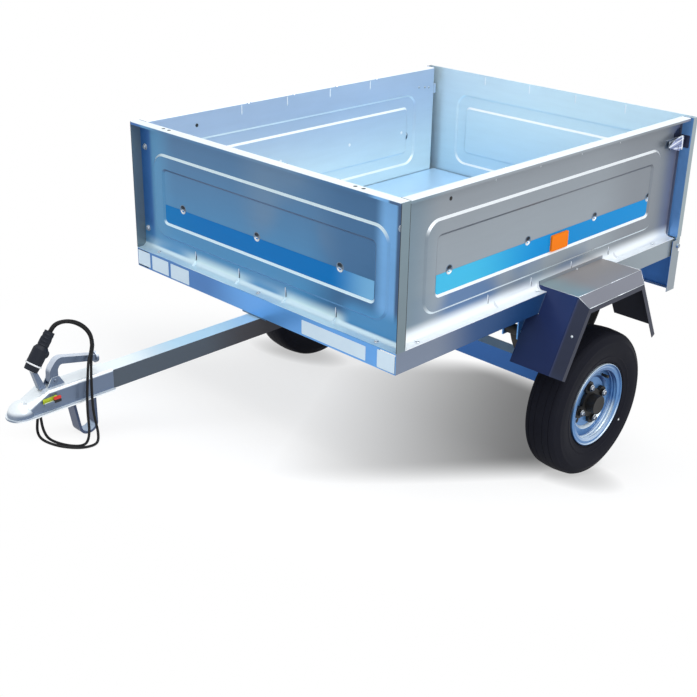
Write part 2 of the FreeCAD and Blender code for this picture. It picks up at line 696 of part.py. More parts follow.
def make_spring():
    """Left leaf spring: two curved leaves from eye to slipper."""
    z_seat = z_axle + beam_lift + beam_height / 2
    z_eye = -70.0
    y0 = spring_y - spring_width / 2
    rise = z_eye - z_seat

    def leaf(half, z_low):
        height = rise * (half / spring_half) ** 2
        low = [Vec(x_axle - half, y0, z_low + height), Vec(x_axle, y0, z_low),
               Vec(x_axle + half, y0, z_low + height)]
        high = [p + Vec(0, 0, spring_leaf) for p in low]
        edges = [Part.Arc(*low).toShape(), Part.LineSegment(low[2], high[2]).toShape(),
                 Part.Arc(high[2], high[1], high[0]).toShape(),
                 Part.LineSegment(high[0], low[0]).toShape()]
        return Part.Face(Part.Wire(edges)).extrude(Vec(0, spring_width, 0))
    main = leaf(spring_half, z_seat + spring_leaf)
    helper = leaf(spring_half * 0.6, z_seat)
    z_end = z_seat + spring_leaf + rise + spring_leaf / 2
    eye = rod(eye_radius, Vec(x_axle + spring_half + 8, y0, z_end + 6), Vec(0, 1, 0), spring_width)
    solid = fuse([main, helper, eye])
    solid = solid.cut(rod(8.1, Vec(x_axle + spring_half + 8, y0 - 1, z_end + 6), Vec(0, 1, 0),
                          spring_width + 2))
    return solid, z_end + 6


def make_hangers(z_eye):
    """Front hanger with its eye bolt, and the rear slipper box."""
    inner = spring_width / 2 + 1.0
    outer = inner + 4
    x_eye = x_axle + spring_half + 8
    pieces = []
    for side in (-1, 1):
        y0 = spring_y + side * inner
        pieces.append(block(x_eye - 18, x_eye + 18, y0, y0 + side * 4, z_eye - 16, -4))
    pieces.append(block(x_eye - 18, x_eye + 18, spring_y - outer, spring_y + outer, -4, 0))
    pieces.append(rod(8, Vec(x_eye, spring_y - outer - 6, z_eye), Vec(0, 1, 0), 2 * outer + 12))
    front = fuse(pieces)
    x0 = x_axle - spring_half - 14
    x1 = x_axle - spring_half + 34
    z_low = z_eye - 30
    pieces = []
    for side in (-1, 1):
        y0 = spring_y + side * inner
        pieces.append(block(x0, x1, y0, y0 + side * 4, z_low, -4))
    pieces.append(block(x0, x1, spring_y - outer, spring_y + outer, -4, 0))
    pieces.append(rod(6, Vec((x0 + x1) / 2, spring_y - outer - 4, z_eye + 16), Vec(0, 1, 0),
                      2 * outer + 8))
    rear = fuse(pieces)
    return front, rear


def guard_line(inset):
    """Corners of the mudguard's skin, front foot to rear foot, moved inward by an inset."""
    top = z_guard
    slope = math.atan2(guard_foot_drop, guard_foot_run)
    x_top = guard_top_half - inset * math.tan(slope / 2)
    x_foot = guard_top_half + guard_foot_run - inset * math.sin(slope)
    z_end = top - guard_foot_drop - inset * math.cos(slope)
    return [(x_axle + x_foot, z_end), (x_axle + x_top, top - inset),
            (x_axle - x_top, top - inset), (x_axle - x_foot, z_end)]


def guard_band(inset0, y0, inset1, y1, depth):
    """Skin of the guard between two widths, as thick as the given depth."""
    def ring(inset, y):
        points = [Vec(x, y, z) for x, z in guard_line(inset)]
        points += [Vec(x, y, z) for x, z in reversed(guard_line(inset + depth))]
        return Part.makePolygon(points + [points[0]])
    return Part.makeLoft([ring(inset0, y0), ring(inset1, y1)], True, True)


def make_mudguard():
    """Left mudguard: flat top bolted to the side, sloping ends, bevelled outer edge and lip."""
    y_flat = y_web + guard_flat
    y_out = y_flat + guard_chamfer_out
    drop = guard_chamfer_drop
    top = guard_band(0, y_web, 0, y_flat, guard_sheet)
    bevel = guard_band(0, y_flat, drop, y_out, guard_sheet)
    lip = guard_band(drop, y_out - guard_sheet, drop, y_out, guard_lip)
    upstand = block(x_axle - guard_top_half, x_axle + guard_top_half, y_web, y_web + guard_sheet,
                    z_guard - guard_sheet, z_guard + guard_upstand)
    solid = fuse([top, bevel, lip, upstand])
    reach = guard_top_half + guard_foot_run
    notch = block(x_axle - reach, x_axle + reach, 0, y_rim + guard_gap, -guard_gap,
                  z_foot + panel_sheet)
    solid = solid.cut(notch)
    cove_top = z_foot + panel_sheet + foot_cove
    behind = block(x_axle - reach, x_axle + reach, 0, y_web, -reach, cove_top + reach)
    solid = solid.cut(behind)
    cove = block(x_axle - reach, x_axle + reach, y_web, y_web + foot_cove, z_foot, cove_top)
    cove = cove.cut(rod(foot_cove - guard_gap / 4,
                        Vec(x_axle - reach, y_web + foot_cove, cove_top), Vec(1, 0, 0), 2 * reach))
    solid = solid.cut(cove)
    for place in side_dart_places():
        room = wedge(place + Vec(0, -guard_gap, z_foot), Vec(1, 0, 0), Vec(0, 1, 0), Vec(0, 0, 1),
                     dart_width / 2 + 3 * guard_gap, foot_reach + 4 * guard_gap)
        solid = solid.cut(room)
    return solid


def make_gate():
    """Tailgate: a shallow tray hinged at its lower corners."""
    t = panel_sheet
    y = y_gate
    web = fuse([block(x_gate - t, x_gate, -y, y, z_gate_wide, z_rim),
                block(x_gate - t, x_gate, -y_ear, y_ear, gate_foot, z_gate_wide)])
    web = pressed_band(web, y_web - band_margin_end, z_foot + band_foot, z_rim - band_top,
                       lambda u, v: Vec(x_gate, u, v), Vec(-1, 0, 0))
    pieces = [web,
              block(x_gate, x_gate + gate_depth, -y_ear, y_ear, gate_foot, gate_foot + t),
              block(x_gate - gate_hem, x_gate - t, -y, y, z_rim - rim_lip, z_rim)]
    for side in (-1, 1):
        pieces += [
            block(x_gate, x_gate + gate_depth, side * y, side * (y - t), z_gate_wide, z_rim),
            block(x_gate + gate_depth - t, x_gate + gate_depth, side * (y_web + gate_lip_gap),
                  side * y, z_gate_wide, z_rim),
            block(x_gate, x_gate + gate_depth, side * (y_ear - ear_sheet), side * y_ear,
                  gate_foot, z_gate_wide + 2 * gate_depth),
            rod(2.5 * pivot_radius, Vec(x_gate + pivot_x_in, side * y_ear, pivot_z),
                Vec(0, -side, 0), ear_sheet)]
    solid = fuse(pieces)
    hole = rod(pivot_radius + pivot_clearance, Vec(x_gate + pivot_x_in, -y, pivot_z),
               Vec(0, 1, 0), 2 * y)
    return solid.cut(hole)


def make_lamp_board():
    """Board below the gate that carries the rear lamps and the gate's pivots."""
    t = board_sheet
    y = y_gate
    x_up = x_rear_rail
    z_ear = rail_height - board_ear_drop
    pieces = [block(x_gate - t, x_gate, -y, y, -board_drop, board_top),
              block(x_gate, x_up, -y, y, board_top - t, board_top),
              block(x_up - t, x_up, -y_rim, y_rim, board_top, z_ear),
              block(x_gate, x_gate + board_lip, -y, y, -board_drop, -board_drop + t)]
    for side in (-1, 1):
        y0 = side * y
        y1 = side * (y - t)
        pivot = Vec(x_gate + pivot_x_in, side * (y_ear - ear_sheet - 1), pivot_z)
        head = Vec(x_gate + pivot_x_in, y0, pivot_z)
        pieces += [block(x_gate, x_gate + board_side, y0, y1, -board_drop, board_top),
                   block(x_gate + 3 * t, x_gate + board_side, y0, y1, board_top, z_ear),
                   rod(pivot_radius, pivot, Vec(0, side, 0), y_gate - y_ear + ear_sheet + 3),
                   rod(1.6 * pivot_radius, head, Vec(0, side, 0), pivot_radius)]
    return fuse(pieces)


def make_rear_lamp():
    """Left rear lamp housing on the board, with rounded corners."""
    x0 = x_gate - board_sheet
    y1 = y_rim - lamp_inset
    z1 = board_top - lamp_drop
    body = block(x0 - lamp_depth, x0, y1 - lamp_width, y1, z1 - lamp_height, z1)
    along = [e for e in body.Edges if abs(e.BoundBox.XLength - lamp_depth) < 0.1]
    return body.makeFillet(lamp_depth / 4, along)


def make_side_reflector():
    """Amber reflector low on the left side."""
    half = reflector_length / 2
    z0 = z_foot + band_foot + band_width + band_slope / 2 + reflector_gap
    body = block(reflector_x - half, reflector_x + half, y_web, y_web + reflector_depth,
                 z0, z0 + reflector_height)
    edges = [e for e in body.Edges if abs(e.BoundBox.YLength - reflector_depth) < 0.1]
    return body.makeFillet(reflector_depth / 2, edges)


def make_latch():
    """Over-centre latch on the left side near the gate: base, lever folded over it, and hook."""
    x0 = x_side_end + latch_gap
    z0 = z_rim - latch_drop
    half = latch_width / 2
    base = block(x0, x0 + latch_length, y_web, y_web + latch_sheet, z0 - half, z0 + half)
    tip = x0 + latch_length
    y0 = y_web + latch_sheet
    lever = prism([Vec(x0 + 6, y0, z0 - half + 3), Vec(x0 + 20, y0 + 12, z0 - half + 3),
                   Vec(tip - 14, y0 + 9, z0 - half + 3), Vec(tip + 8, y0 + 14, z0 - half + 3),
                   Vec(tip + 8, y0 + 11.5, z0 - half + 3), Vec(tip - 14, y0, z0 - half + 3)],
                  Vec(0, 0, latch_width - 6))
    return fuse([base, lever])


def make_latch_keeper():
    """Black box inside the gate's left edge that the latch hooks on."""
    x1 = x_gate + gate_depth - panel_sheet
    z0 = z_rim - latch_drop
    return block(x1 - gate_depth / 2, x1, y_web + gate_lip_gap, y_gate - panel_sheet,
                 z0 - latch_width * 0.7, z0 + latch_width * 0.7)


def make_wear_gauge():
    """Wear gauge and its cap on the coupling's side."""
    y0 = drawbar_size / 2 + coupling_fit + coupling_wall
    z0 = z_tube_top - drawbar_size / 3
    plate = block(x_tip - gauge_x, x_tip - gauge_x + gauge_length, y0, y0 + 2.5, z0 - 6, z0 + 5)
    return fuse([plate, rod(6.5, Vec(x_tip - gauge_x, y0, z0), Vec(0, 1, 0), 7)])


def make_cable_outlet():
    """Rubber block under the coupling's roof that the cables come out of."""
    x0 = x_tube_end + coupling_fit
    half = throat_half - coupling_fit
    return throat_block(x0, x0 + outlet_length, half, z_throat - outlet_depth, coupling_fit)


nodes = {}


def add(name, shape):
    nodes[name] = shape


add("front_panel", make_front_panel())
side_panel = make_side_panel()
add("left_side_panel", side_panel)
add("right_side_panel", mirrored(side_panel))
add("floor_board", make_floor())
side_rail = make_side_rail()
add("left_chassis_rail", side_rail)
add("right_chassis_rail", mirrored(side_rail))
add("front_chassis_rail", make_end_rail(x_front, -1))
add("rear_chassis_rail", make_end_rail(x_rear_rail, 1))
add("cross_member", make_cross_member())
add("drawbar_tube", make_drawbar())
packer_front, packer_rear = make_drawbar_packer()
add("drawbar_front_plate", packer_front)
add("drawbar_rear_plate", packer_rear)
add("ball_coupling", make_coupling())
add("coupling_handle", make_coupling_handle())
add("coupling_catch", make_coupling_latch())
add("cable_outlet", make_cable_outlet())
add("wear_gauge", make_wear_gauge())
add("stand_hoop", make_stand())
add("axle_beam", make_axle_beam())
spring, z_eye = make_spring()
hanger_front, hanger_rear = make_hangers(z_eye)
sided = {"tyre": make_tyre(), "wheel_rim": make_rim(), "hub": make_hub(),
         "stub_axle": make_stub_axle(), "leaf_spring": spring,
         "spring_front_hanger": hanger_front, "spring_rear_hanger": hanger_rear,
         "mudguard": make_mudguard(), "rear_lamp": make_rear_lamp(),
         "side_reflector": make_side_reflector(), "gate_latch": make_latch(),
         "latch_keeper": make_latch_keeper()}
for name, shape in sided.items():
    add("left_" + name, shape)
    add("right_" + name, mirrored(shape))
add("tailgate", make_gate())
add("lamp_board", make_lamp_board())

# Parked pose: the trailer turns about the wheel centres until the foot's front corner is down.
lean = math.atan2(stand_lean, stand_drop)
x_round = x_stand - stand_radius / math.tan((math.pi / 2 + lean) / 2)
run = x_round - x_axle
rise = z_stand + stand_radius - z_axle
reach = math.hypot(run, rise)
pitch = math.atan2(rise, run) + math.asin((tyre_radius - stand_radius) / reach)
print("pitch degrees", round(math.degrees(pitch), 4))

wheel_centre = Vec(x_axle, 0, z_axle)
for name in nodes:
    nodes[name].rotate(wheel_centre, Vec(0, 1, 0), math.degrees(pitch))

box = FreeCAD.BoundBox()
for shape in nodes.values():
    box.add(shape.optimalBoundingBox(False))
to_origin = Vec(-(box.XMin + box.XMax) / 2, 0, tyre_radius - z_axle)
for shape in nodes.values():
    shape.translate(to_origin)


def parked(x, y, z):
    """Where a point of the level trailer lies once it is parked."""
    turn = FreeCAD.Rotation(Vec(0, 1, 0), math.degrees(pitch))
    return turn.multVec(Vec(x, y, z) - wheel_centre) + wheel_centre + to_origin


for label, point in (("wheel_left", (x_axle, wheel_plane, z_axle)),
                     ("gate_pivot", (x_gate + pivot_x_in, 0, pivot_z)),
                     ("ball", (x_ball, 0, z_ball)),
                     ("level_origin", (0, 0, 0))):
    at = parked(*point)
    print("place", label, round(at.x, 4), round(at.y, 4), round(at.z, 4))


def fitted(route, start, end):
    """The drawn route, shifted along its length to start and end where it has to."""
    drawn = [Vec(*point) for point in route]
    marks = []
    for i, mark in enumerate(drawn):
        share = i / (len(drawn) - 1)
        mark = mark + (start - drawn[0]) * (1 - share) + (end - drawn[-1]) * share
        marks.append(Vec(mark.x, mark.y, max(mark.z, cable_diameter / 2 + 0.5)))
    return marks


def cable_tube(marks, label):
    """A round tube along straight runs joined by arcs, each as large as its runs allow."""
    edges = []
    last = marks[0]
    radii = []
    for i in range(1, len(marks) - 1):
        back = marks[i - 1] - marks[i]
        ahead = marks[i + 1] - marks[i]
        reach = 0.45 * min(back.Length, ahead.Length)
        half = back.getAngle(ahead) / 2
        radii.append(reach * math.tan(half))
        back.normalize()
        ahead.normalize()
        middle = (back + ahead).normalize()
        top = marks[i] + middle * (reach / math.cos(half) - radii[-1])
        start = marks[i] + back * reach
        end = marks[i] + ahead * reach
        edges.append(Part.LineSegment(last, start).toShape())
        edges.append(Part.Arc(start, top, end).toShape())
        last = end
    edges.append(Part.LineSegment(last, marks[-1]).toShape())
    spine = Part.Wire(edges)
    disc = Part.Wire(Part.makeCircle(cable_diameter / 2, marks[0], marks[1] - marks[0]))
    tube = spine.makePipeShell([disc], True, False)
    section = math.pi * (cable_diameter / 2) ** 2
    least = min(radii)
    print("cable", label, "length", round(spine.Length, 1), "least radius", round(least, 1),
          "at point", radii.index(least) + 1,
          "volume share", round(tube.Volume / (section * spine.Length), 4))
    return tube


def make_plug():
    """Seven-pin plug: round body with a ring and a waist, and a lobed neck for the cables."""
    up = plug_axis
    neck = plug_radius * 0.66
    body = Part.makeCylinder(plug_radius, plug_body - 24, plug_foot + up * 16, up)
    pieces = [Part.makeCone(plug_radius - 2, plug_radius - 1, 13, plug_foot, up),
              Part.makeCylinder(plug_radius + 0.6, 3, plug_foot + up * 13, up),
              body,
              Part.makeCone(plug_radius, neck + 1, 8, plug_foot + up * (plug_body - 8), up),
              Part.makeCylinder(neck, plug_length - plug_body, plug_foot + up * plug_body, up)]
    for turn in (20, 140, 260):
        out = FreeCAD.Rotation(up, turn).multVec(Vec(0, 1, 0))
        lobe = plug_foot + up * (plug_body + 2) + out * neck * 0.75
        pieces.append(Part.makeCylinder(5, 16, lobe, up))
    return fuse(pieces)


catch_top = parked(x_lever + 45, 0, z_catch)
lean = math.radians(plug_lean)
plug_axis = Vec(-math.sin(lean), 0, math.cos(lean))
plug_foot = catch_top + Vec(plug_ahead, plug_shift, plug_rise)
plug_top = plug_foot + plug_axis * plug_length
plug_side = Vec(math.cos(lean), 0.5, math.sin(lean)) * plug_spread
outlet = parked(x_tube_end + coupling_fit + outlet_length / 2, 0, z_throat - outlet_depth - 0.15)
add("plug", make_plug())
plug_end = plug_top + plug_axis * 0.15
near_ends = (outlet + Vec(0, cable_spread, 0), plug_end + plug_side)
far_ends = (outlet - Vec(0, cable_spread, 0), plug_end - plug_side)
add("cable_near", cable_tube(fitted(cable_near_route, *near_ends), "near"))
add("cable_far", cable_tube(fitted(cable_far_route, *far_ends), "far"))
print("plug from", plug_foot, "to", plug_top)
print("outlet", outlet, "catch", catch_top)

os.makedirs("parts", exist_ok=True)
for name, shape in nodes.items():
    if len(shape.Solids) != 1 or not shape.isValid():
        print("check", name, len(shape.Solids), "solids, valid", shape.isValid())
    shape.exportStep("parts/" + name + ".step")
print(len(nodes), "nodes")
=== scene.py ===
import json
import math

import bmesh
import bpy
from mathutils import Matrix, Vector


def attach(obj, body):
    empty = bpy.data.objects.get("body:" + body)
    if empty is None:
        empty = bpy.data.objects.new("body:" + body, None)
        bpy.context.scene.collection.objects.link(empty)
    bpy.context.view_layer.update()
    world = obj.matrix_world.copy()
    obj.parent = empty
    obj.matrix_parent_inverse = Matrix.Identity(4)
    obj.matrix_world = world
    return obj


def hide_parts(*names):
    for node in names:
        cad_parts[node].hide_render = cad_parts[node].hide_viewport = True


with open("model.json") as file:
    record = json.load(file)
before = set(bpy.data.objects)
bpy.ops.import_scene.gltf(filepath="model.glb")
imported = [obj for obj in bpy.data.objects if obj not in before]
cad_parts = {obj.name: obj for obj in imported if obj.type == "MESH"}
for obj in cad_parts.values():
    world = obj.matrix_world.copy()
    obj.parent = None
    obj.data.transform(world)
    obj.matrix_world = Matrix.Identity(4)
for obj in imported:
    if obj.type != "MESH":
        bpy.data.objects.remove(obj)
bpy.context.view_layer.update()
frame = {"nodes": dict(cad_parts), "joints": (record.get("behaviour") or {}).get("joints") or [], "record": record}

nodes = frame["nodes"]
record = frame["record"]
joints = {joint["name"]: joint for joint in frame["joints"]}
mounts = {mount["name"]: mount for mount in record["mounts"]}

# The parked stance: the level drawing, turned about the wheels' centres until the stand is down
floor_normal = mounts["load_floor"]["axis"]
PITCH = math.atan2(floor_normal[0], floor_normal[2])
TURN = Matrix.Rotation(PITCH, 3, "Y")
WHEEL_LEVEL = Vector((-106.0, 0.0, -284.0))
WHEEL_PARKED = Vector(joints["left_wheel_spin"]["pos_m"])
WHEEL_Y = WHEEL_PARKED.y
WHEEL_PARKED.y = 0.0


def spot(x, y, z):
    """A place in the level drawing, in millimetres, where it stands parked, in metres."""
    return TURN @ ((Vector((x, y, z)) - WHEEL_LEVEL) / 1000) + WHEEL_PARKED


def drawn(place):
    """Where a place of the parked trailer, in metres, lies in the level drawing."""
    return TURN.transposed() @ (Vector(place) - WHEEL_PARKED) * 1000 + WHEEL_LEVEL


def drawn_way(x, y, z):
    """How a direction of the parked trailer points in the level drawing."""
    return TURN.transposed() @ Vector((x, y, z))


def heading(x, y, z):
    """A direction in the level drawing as it points when parked."""
    return (TURN @ Vector((x, y, z))).normalized()


# Camera, found from the photograph's straight edges
PICTURE = 697
FOCUS_PX = 1160.07
SENSOR = 36.0
CAMERA_PLACE = (2337, 2034, 1118)
CAMERA_RIGHT = (-0.7053, 0.7087, 0.0183)
CAMERA_UP = (-0.2806, -0.3027, 0.9108)


def make_camera():
    """The photograph's viewpoint, whose place and directions are those of the level drawing."""
    data = bpy.data.cameras.new("photo_camera")
    data.sensor_width = SENSOR
    data.lens = FOCUS_PX * SENSOR / PICTURE
    camera = bpy.data.objects.new("photo_camera", data)
    bpy.context.scene.collection.objects.link(camera)
    right = heading(*CAMERA_RIGHT)
    up = heading(*CAMERA_UP)
    back = right.cross(up).normalized()
    up = back.cross(right).normalized()
    turn = Matrix((right, up, back)).transposed().to_4x4()
    camera.matrix_world = Matrix.Translation(spot(*CAMERA_PLACE)) @ turn
    bpy.context.scene.camera = camera


make_camera()


# Cables, by the same points as the solids, in metres
CABLE_RADIUS = 0.003
CABLE_NEAR = (
    (0.8599, 0.005, 0.0707), (0.8557, 0.005, 0.0563), (0.8515, 0.008, 0.040),
    (0.8485, 0.013, 0.0245), (0.846, 0.023, 0.012), (0.8435, 0.036, 0.0048),
    (0.839, 0.053, 0.0035), (0.830, 0.071, 0.0035), (0.816, 0.083, 0.0035),
    (0.797, 0.088, 0.0035), (0.779, 0.081, 0.0035), (0.764, 0.068, 0.005),
    (0.754, 0.056, 0.014), (0.752, 0.048, 0.031), (0.758, 0.046, 0.052), (0.766, 0.046, 0.082),
    (0.772, 0.046, 0.111), (0.775, 0.044, 0.138), (0.774, 0.036, 0.165), (0.770, 0.028, 0.182),
    (0.763, 0.022, 0.199), (0.762, 0.020, 0.216), (0.767, 0.020, 0.232), (0.779, 0.019, 0.246),
    (0.794, 0.018, 0.2565), (0.811, 0.0165, 0.263), (0.829, 0.0145, 0.265),
    (0.8447, 0.013, 0.263), (0.8579, 0.012, 0.2582), (0.867, 0.012, 0.2495),
    (0.8711, 0.012, 0.2384))
CABLE_FAR = (
    (0.8585, -0.005, 0.0711), (0.8543, -0.005, 0.0567), (0.853, -0.003, 0.042),
    (0.854, 0.001, 0.027), (0.857, 0.009, 0.0145), (0.8595, 0.023, 0.0065),
    (0.859, 0.040, 0.0035), (0.855, 0.059, 0.0035), (0.845, 0.077, 0.0035),
    (0.828, 0.090, 0.0035), (0.808, 0.097, 0.0035), (0.786, 0.097, 0.0035),
    (0.763, 0.090, 0.0035), (0.745, 0.078, 0.004), (0.734, 0.064, 0.009), (0.731, 0.054, 0.021),
    (0.736, 0.048, 0.039), (0.746, 0.046, 0.064), (0.755, 0.043, 0.099), (0.759, 0.036, 0.134),
    (0.758, 0.023, 0.168), (0.755, 0.014, 0.194), (0.757, 0.0125, 0.212), (0.765, 0.011, 0.229),
    (0.777, 0.010, 0.242), (0.792, 0.009, 0.251), (0.808, 0.0085, 0.257), (0.823, 0.008, 0.2595),
    (0.8371, 0.008, 0.2589), (0.8503, 0.008, 0.2548), (0.8595, 0.008, 0.2469),
    (0.8636, 0.008, 0.2356))


def make_cable(name, points, node):
    """A limp cable in place of its solid, through points given in metres."""
    data = bpy.data.curves.new(name, "CURVE")
    data.dimensions = "3D"
    data.bevel_depth = CABLE_RADIUS
    data.bevel_resolution = 4
    data.resolution_u = 8
    line = data.splines.new("NURBS")
    line.points.add(len(points) - 1)
    for point, place in zip(line.points, points):
        point.co = (*place, 1.0)
    line.order_u = 3
    line.use_endpoint_u = True
    cable = bpy.data.objects.new(name, data)
    bpy.context.scene.collection.objects.link(cable)
    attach(cable, "chassis")
    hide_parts(node)
    return cable


CABLES = (make_cable("lead_near", CABLE_NEAR, "cable_near"),
          make_cable("lead_far", CABLE_FAR, "cable_far"))


# Helpers for shader nodes
def srgb(red, green, blue):
    """A colour as read off a picture, 0 to 255, in Blender's linear numbers."""
    return tuple((c / 255 / 12.92 if c <= 10 else ((c / 255 + 0.055) / 1.055) ** 2.4)
                 for c in (red, green, blue))


def put(tree, kind, inputs=(), **settings):
    """Adds a node; inputs are (socket, value or output) pairs."""
    node = tree.nodes.new("ShaderNode" + kind)
    for key, value in settings.items():
        setattr(node, key, value)
    for socket, value in dict(inputs).items():
        if isinstance(value, bpy.types.NodeSocket):
            tree.links.new(value, node.inputs[socket])
        else:
            node.inputs[socket].default_value = value
    return node


def reckon(tree, kind, first, second):
    """One step of arithmetic, named by kind, with two values or outputs."""
    return put(tree, "Math", {0: first, 1: second}, operation=kind).outputs[0]


def ramp(tree, value, low, high):
    """0 below low, 1 above high, smooth between; low above high turns it round."""
    node = put(tree, "MapRange", {"Value": value, "From Min": low, "From Max": high},
               interpolation_type="SMOOTHSTEP")
    return node.outputs["Result"]


def blend_colour(tree, share, under, over, kind="MIX"):
    """One colour laid over another by a share from 0 to 1, each a value or an output."""
    node = put(tree, "Mix", data_type="RGBA", blend_type=kind)
    for socket, value in ((0, share), (6, under), (7, over)):
        if isinstance(value, bpy.types.NodeSocket):
            tree.links.new(value, node.inputs[socket])
        else:
            node.inputs[socket].default_value = value if socket == 0 else (*value, 1.0)
    return node.outputs[2]


def new_group(name, inputs, outputs):
    """A shader node group with named sockets: (name, kind, default) in, (name, kind) out."""
    tree = bpy.data.node_groups.new(name, "ShaderNodeTree")
    for label, kind, value in inputs:
        socket = tree.interface.new_socket(label, in_out="INPUT", socket_type="NodeSocket" + kind)
        socket.default_value = value
    for label, kind in outputs:
        tree.interface.new_socket(label, in_out="OUTPUT", socket_type="NodeSocket" + kind)
    start = tree.nodes.new("NodeGroupInput")
    end = tree.nodes.new("NodeGroupOutput")
    return tree, start.outputs, end


def place_group(tree, group, inputs=()):
    """Adds a shared group; inputs are (socket, value) pairs."""
    node = tree.nodes.new("ShaderNodeGroup")
    node.node_tree = group
    for socket, value in dict(inputs).items():
        node.inputs[socket].default_value = value
    return node.outputs


# Effects that several finishes share
STREAK_STRETCH = (1.2, 1.2, 9.0)  # streaks run level, so the pattern is squeezed upwards
SPANGLE_SHARE = 0.35
SHEET_BUMP = 0.05                 # strength of the sheet's relief
SHEET_RELIEF = 0.0006             # m
GRAIN_RELIEF = 0.0004             # m
COLOUR_RISE = (0.08, 0.36)        # height, in m, over which a facing's low colour gives way


# The finishes paint light and shade into a face's colour by these masks: which way it points, and where it lies
def make_facings(name, turning=False):
    """Which way a face points, and where it lies, in the level drawing.

    A turning piece is seen as it stands, so its bright side stays up as it turns. Each side has
    its direction, and how squarely a face points there, as a cosine, when it starts to count and
    when it counts in full.
    """
    sides = (("Front", (1, 0, 0), 0.5, 0.9), ("Fore", (1, 0, 0), 0.25, 0.6),
             ("Back", (-1, 0, 0), 0.5, 0.9), ("Left", (0, 1, 0), 0.5, 0.9),
             ("Right", (0, -1, 0), 0.5, 0.9), ("Up", (0, 0, 1), 0.10, 0.50),
             ("Top", (0, 0, 1), 0.7, 0.95), ("Down", (0, 0, -1), 0.12, 0.6))
    ways = (("Rise", (0, 0, 1)), ("Along", (1, 0, 0)), ("Across", (0, 1, 0)))
    tree, _, end = new_group(name, (), [(side[0], "Float") for side in sides + ways])
    where = put(tree, "TexCoord")
    facing = put(tree, "NewGeometry") if turning else where
    for side, way, low, high in sides:
        dot = put(tree, "VectorMath", {0: facing.outputs["Normal"], 1: heading(*way)},
                  operation="DOT_PRODUCT")
        tree.links.new(ramp(tree, dot.outputs["Value"], low, high), end.inputs[side])
    away = put(tree, "VectorMath", {0: where.outputs["Object"], 1: spot(0, 0, 0)},
               operation="SUBTRACT")
    for line, way in ways:
        dot = put(tree, "VectorMath", {0: away.outputs["Vector"], 1: heading(*way)},
                  operation="DOT_PRODUCT")
        tree.links.new(dot.outputs["Value"], end.inputs[line])
    return tree


def make_sheen_streaks():
    """Soft streaks, broad clouds and faint spangle of zinc-coated sheet."""
    tree, start, end = new_group("zinc_streaks",
                                 [("Strength", "Float", 0.1), ("Grain", "Float", 6.0)],
                                 [("Tone", "Float"), ("Cloud", "Float"), ("Roughness", "Float"),
                                  ("Height", "Float")])
    where = put(tree, "TexCoord")
    level = put(tree, "VectorRotate", {"Vector": where.outputs["Object"], "Angle": -PITCH,
                                       "Axis": (0, 1, 0)}, rotation_type="AXIS_ANGLE")
    stretched = put(tree, "VectorMath", {0: level.outputs["Vector"], 1: STREAK_STRETCH},
                    operation="MULTIPLY")
    streak = put(tree, "TexNoise", {"Vector": stretched.outputs["Vector"], "Scale": start["Grain"],
                                    "Detail": 3.0, "Roughness": 0.55})
    cloud = put(tree, "TexNoise", {"Vector": level.outputs["Vector"], "Scale": 3.2, "Detail": 1.5})
    spangle = put(tree, "TexVoronoi", {"Vector": level.outputs["Vector"], "Scale": 85.0})
    both = reckon(tree, "ADD", streak.outputs["Fac"], cloud.outputs["Fac"])
    centred = reckon(tree, "SUBTRACT", both, 1.0)
    scaled = reckon(tree, "MULTIPLY", centred, start["Strength"])
    tree.links.new(reckon(tree, "ADD", scaled, 1.0), end.inputs["Tone"])
    tree.links.new(ramp(tree, cloud.outputs["Fac"], 0.46, 0.6), end.inputs["Cloud"])
    rough = put(tree, "MapRange", {"Value": streak.outputs["Fac"], "To Min": 0.24, "To Max": 0.42})
    tree.links.new(rough.outputs["Result"], end.inputs["Roughness"])
    cell = reckon(tree, "MULTIPLY", spangle.outputs["Distance"], SPANGLE_SHARE)
    tree.links.new(reckon(tree, "ADD", cell, streak.outputs["Fac"]), end.inputs["Height"])
    return tree


def make_fine_grain():
    """Small pits and dusty patches of rubber, moulded plastic and enamel."""
    tree, start, end = new_group("fine_grain",
                                 [("Size", "Float", 300.0), ("Dust", "Float", 0.2)],
                                 [("Dust", "Float"), ("Height", "Float"), ("Roughness", "Float")])
    where = put(tree, "TexCoord")
    pits = put(tree, "TexNoise", {"Vector": where.outputs["Object"], "Scale": start["Size"],
                                  "Detail": 4.0})
    patch = put(tree, "TexNoise", {"Vector": where.outputs["Object"], "Scale": 14.0, "Detail": 5.0,
                                   "Roughness": 0.65})
    dust = reckon(tree, "MULTIPLY", ramp(tree, patch.outputs["Fac"], 0.42, 0.75), start["Dust"])
    tree.links.new(dust, end.inputs["Dust"])
    tree.links.new(pits.outputs["Fac"], end.inputs["Height"])
    rough = put(tree, "MapRange", {"Value": patch.outputs["Fac"], "To Min": 0.45, "To Max": 0.75})
    tree.links.new(rough.outputs["Result"], end.inputs["Roughness"])
    return tree


FACINGS = make_facings("panel_facings")
WHEEL_FACINGS = make_facings("wheel_facings", turning=True)
STREAKS = make_sheen_streaks()
GRAIN = make_fine_grain()


def blank_material(name, metallic=0.0, coat=0.0, roughness=0.5):
    """A new material with its node tree and its shader."""
    material = bpy.data.materials.new(name)
    material.use_nodes = True
    shader = material.node_tree.nodes["Principled BSDF"]
    shader.inputs["Metallic"].default_value = metallic
    shader.inputs["Coat Weight"].default_value = coat
    shader.inputs["Roughness"].default_value = roughness
    return material, material.node_tree, shader


def bump(tree, shader, height, strength, distance):
    """Fine relief on a surface, as deep as distance in metres."""
    node = put(tree, "Bump", {"Height": height, "Strength": strength, "Distance": distance})
    tree.links.new(node.outputs["Normal"], shader.inputs["Normal"])


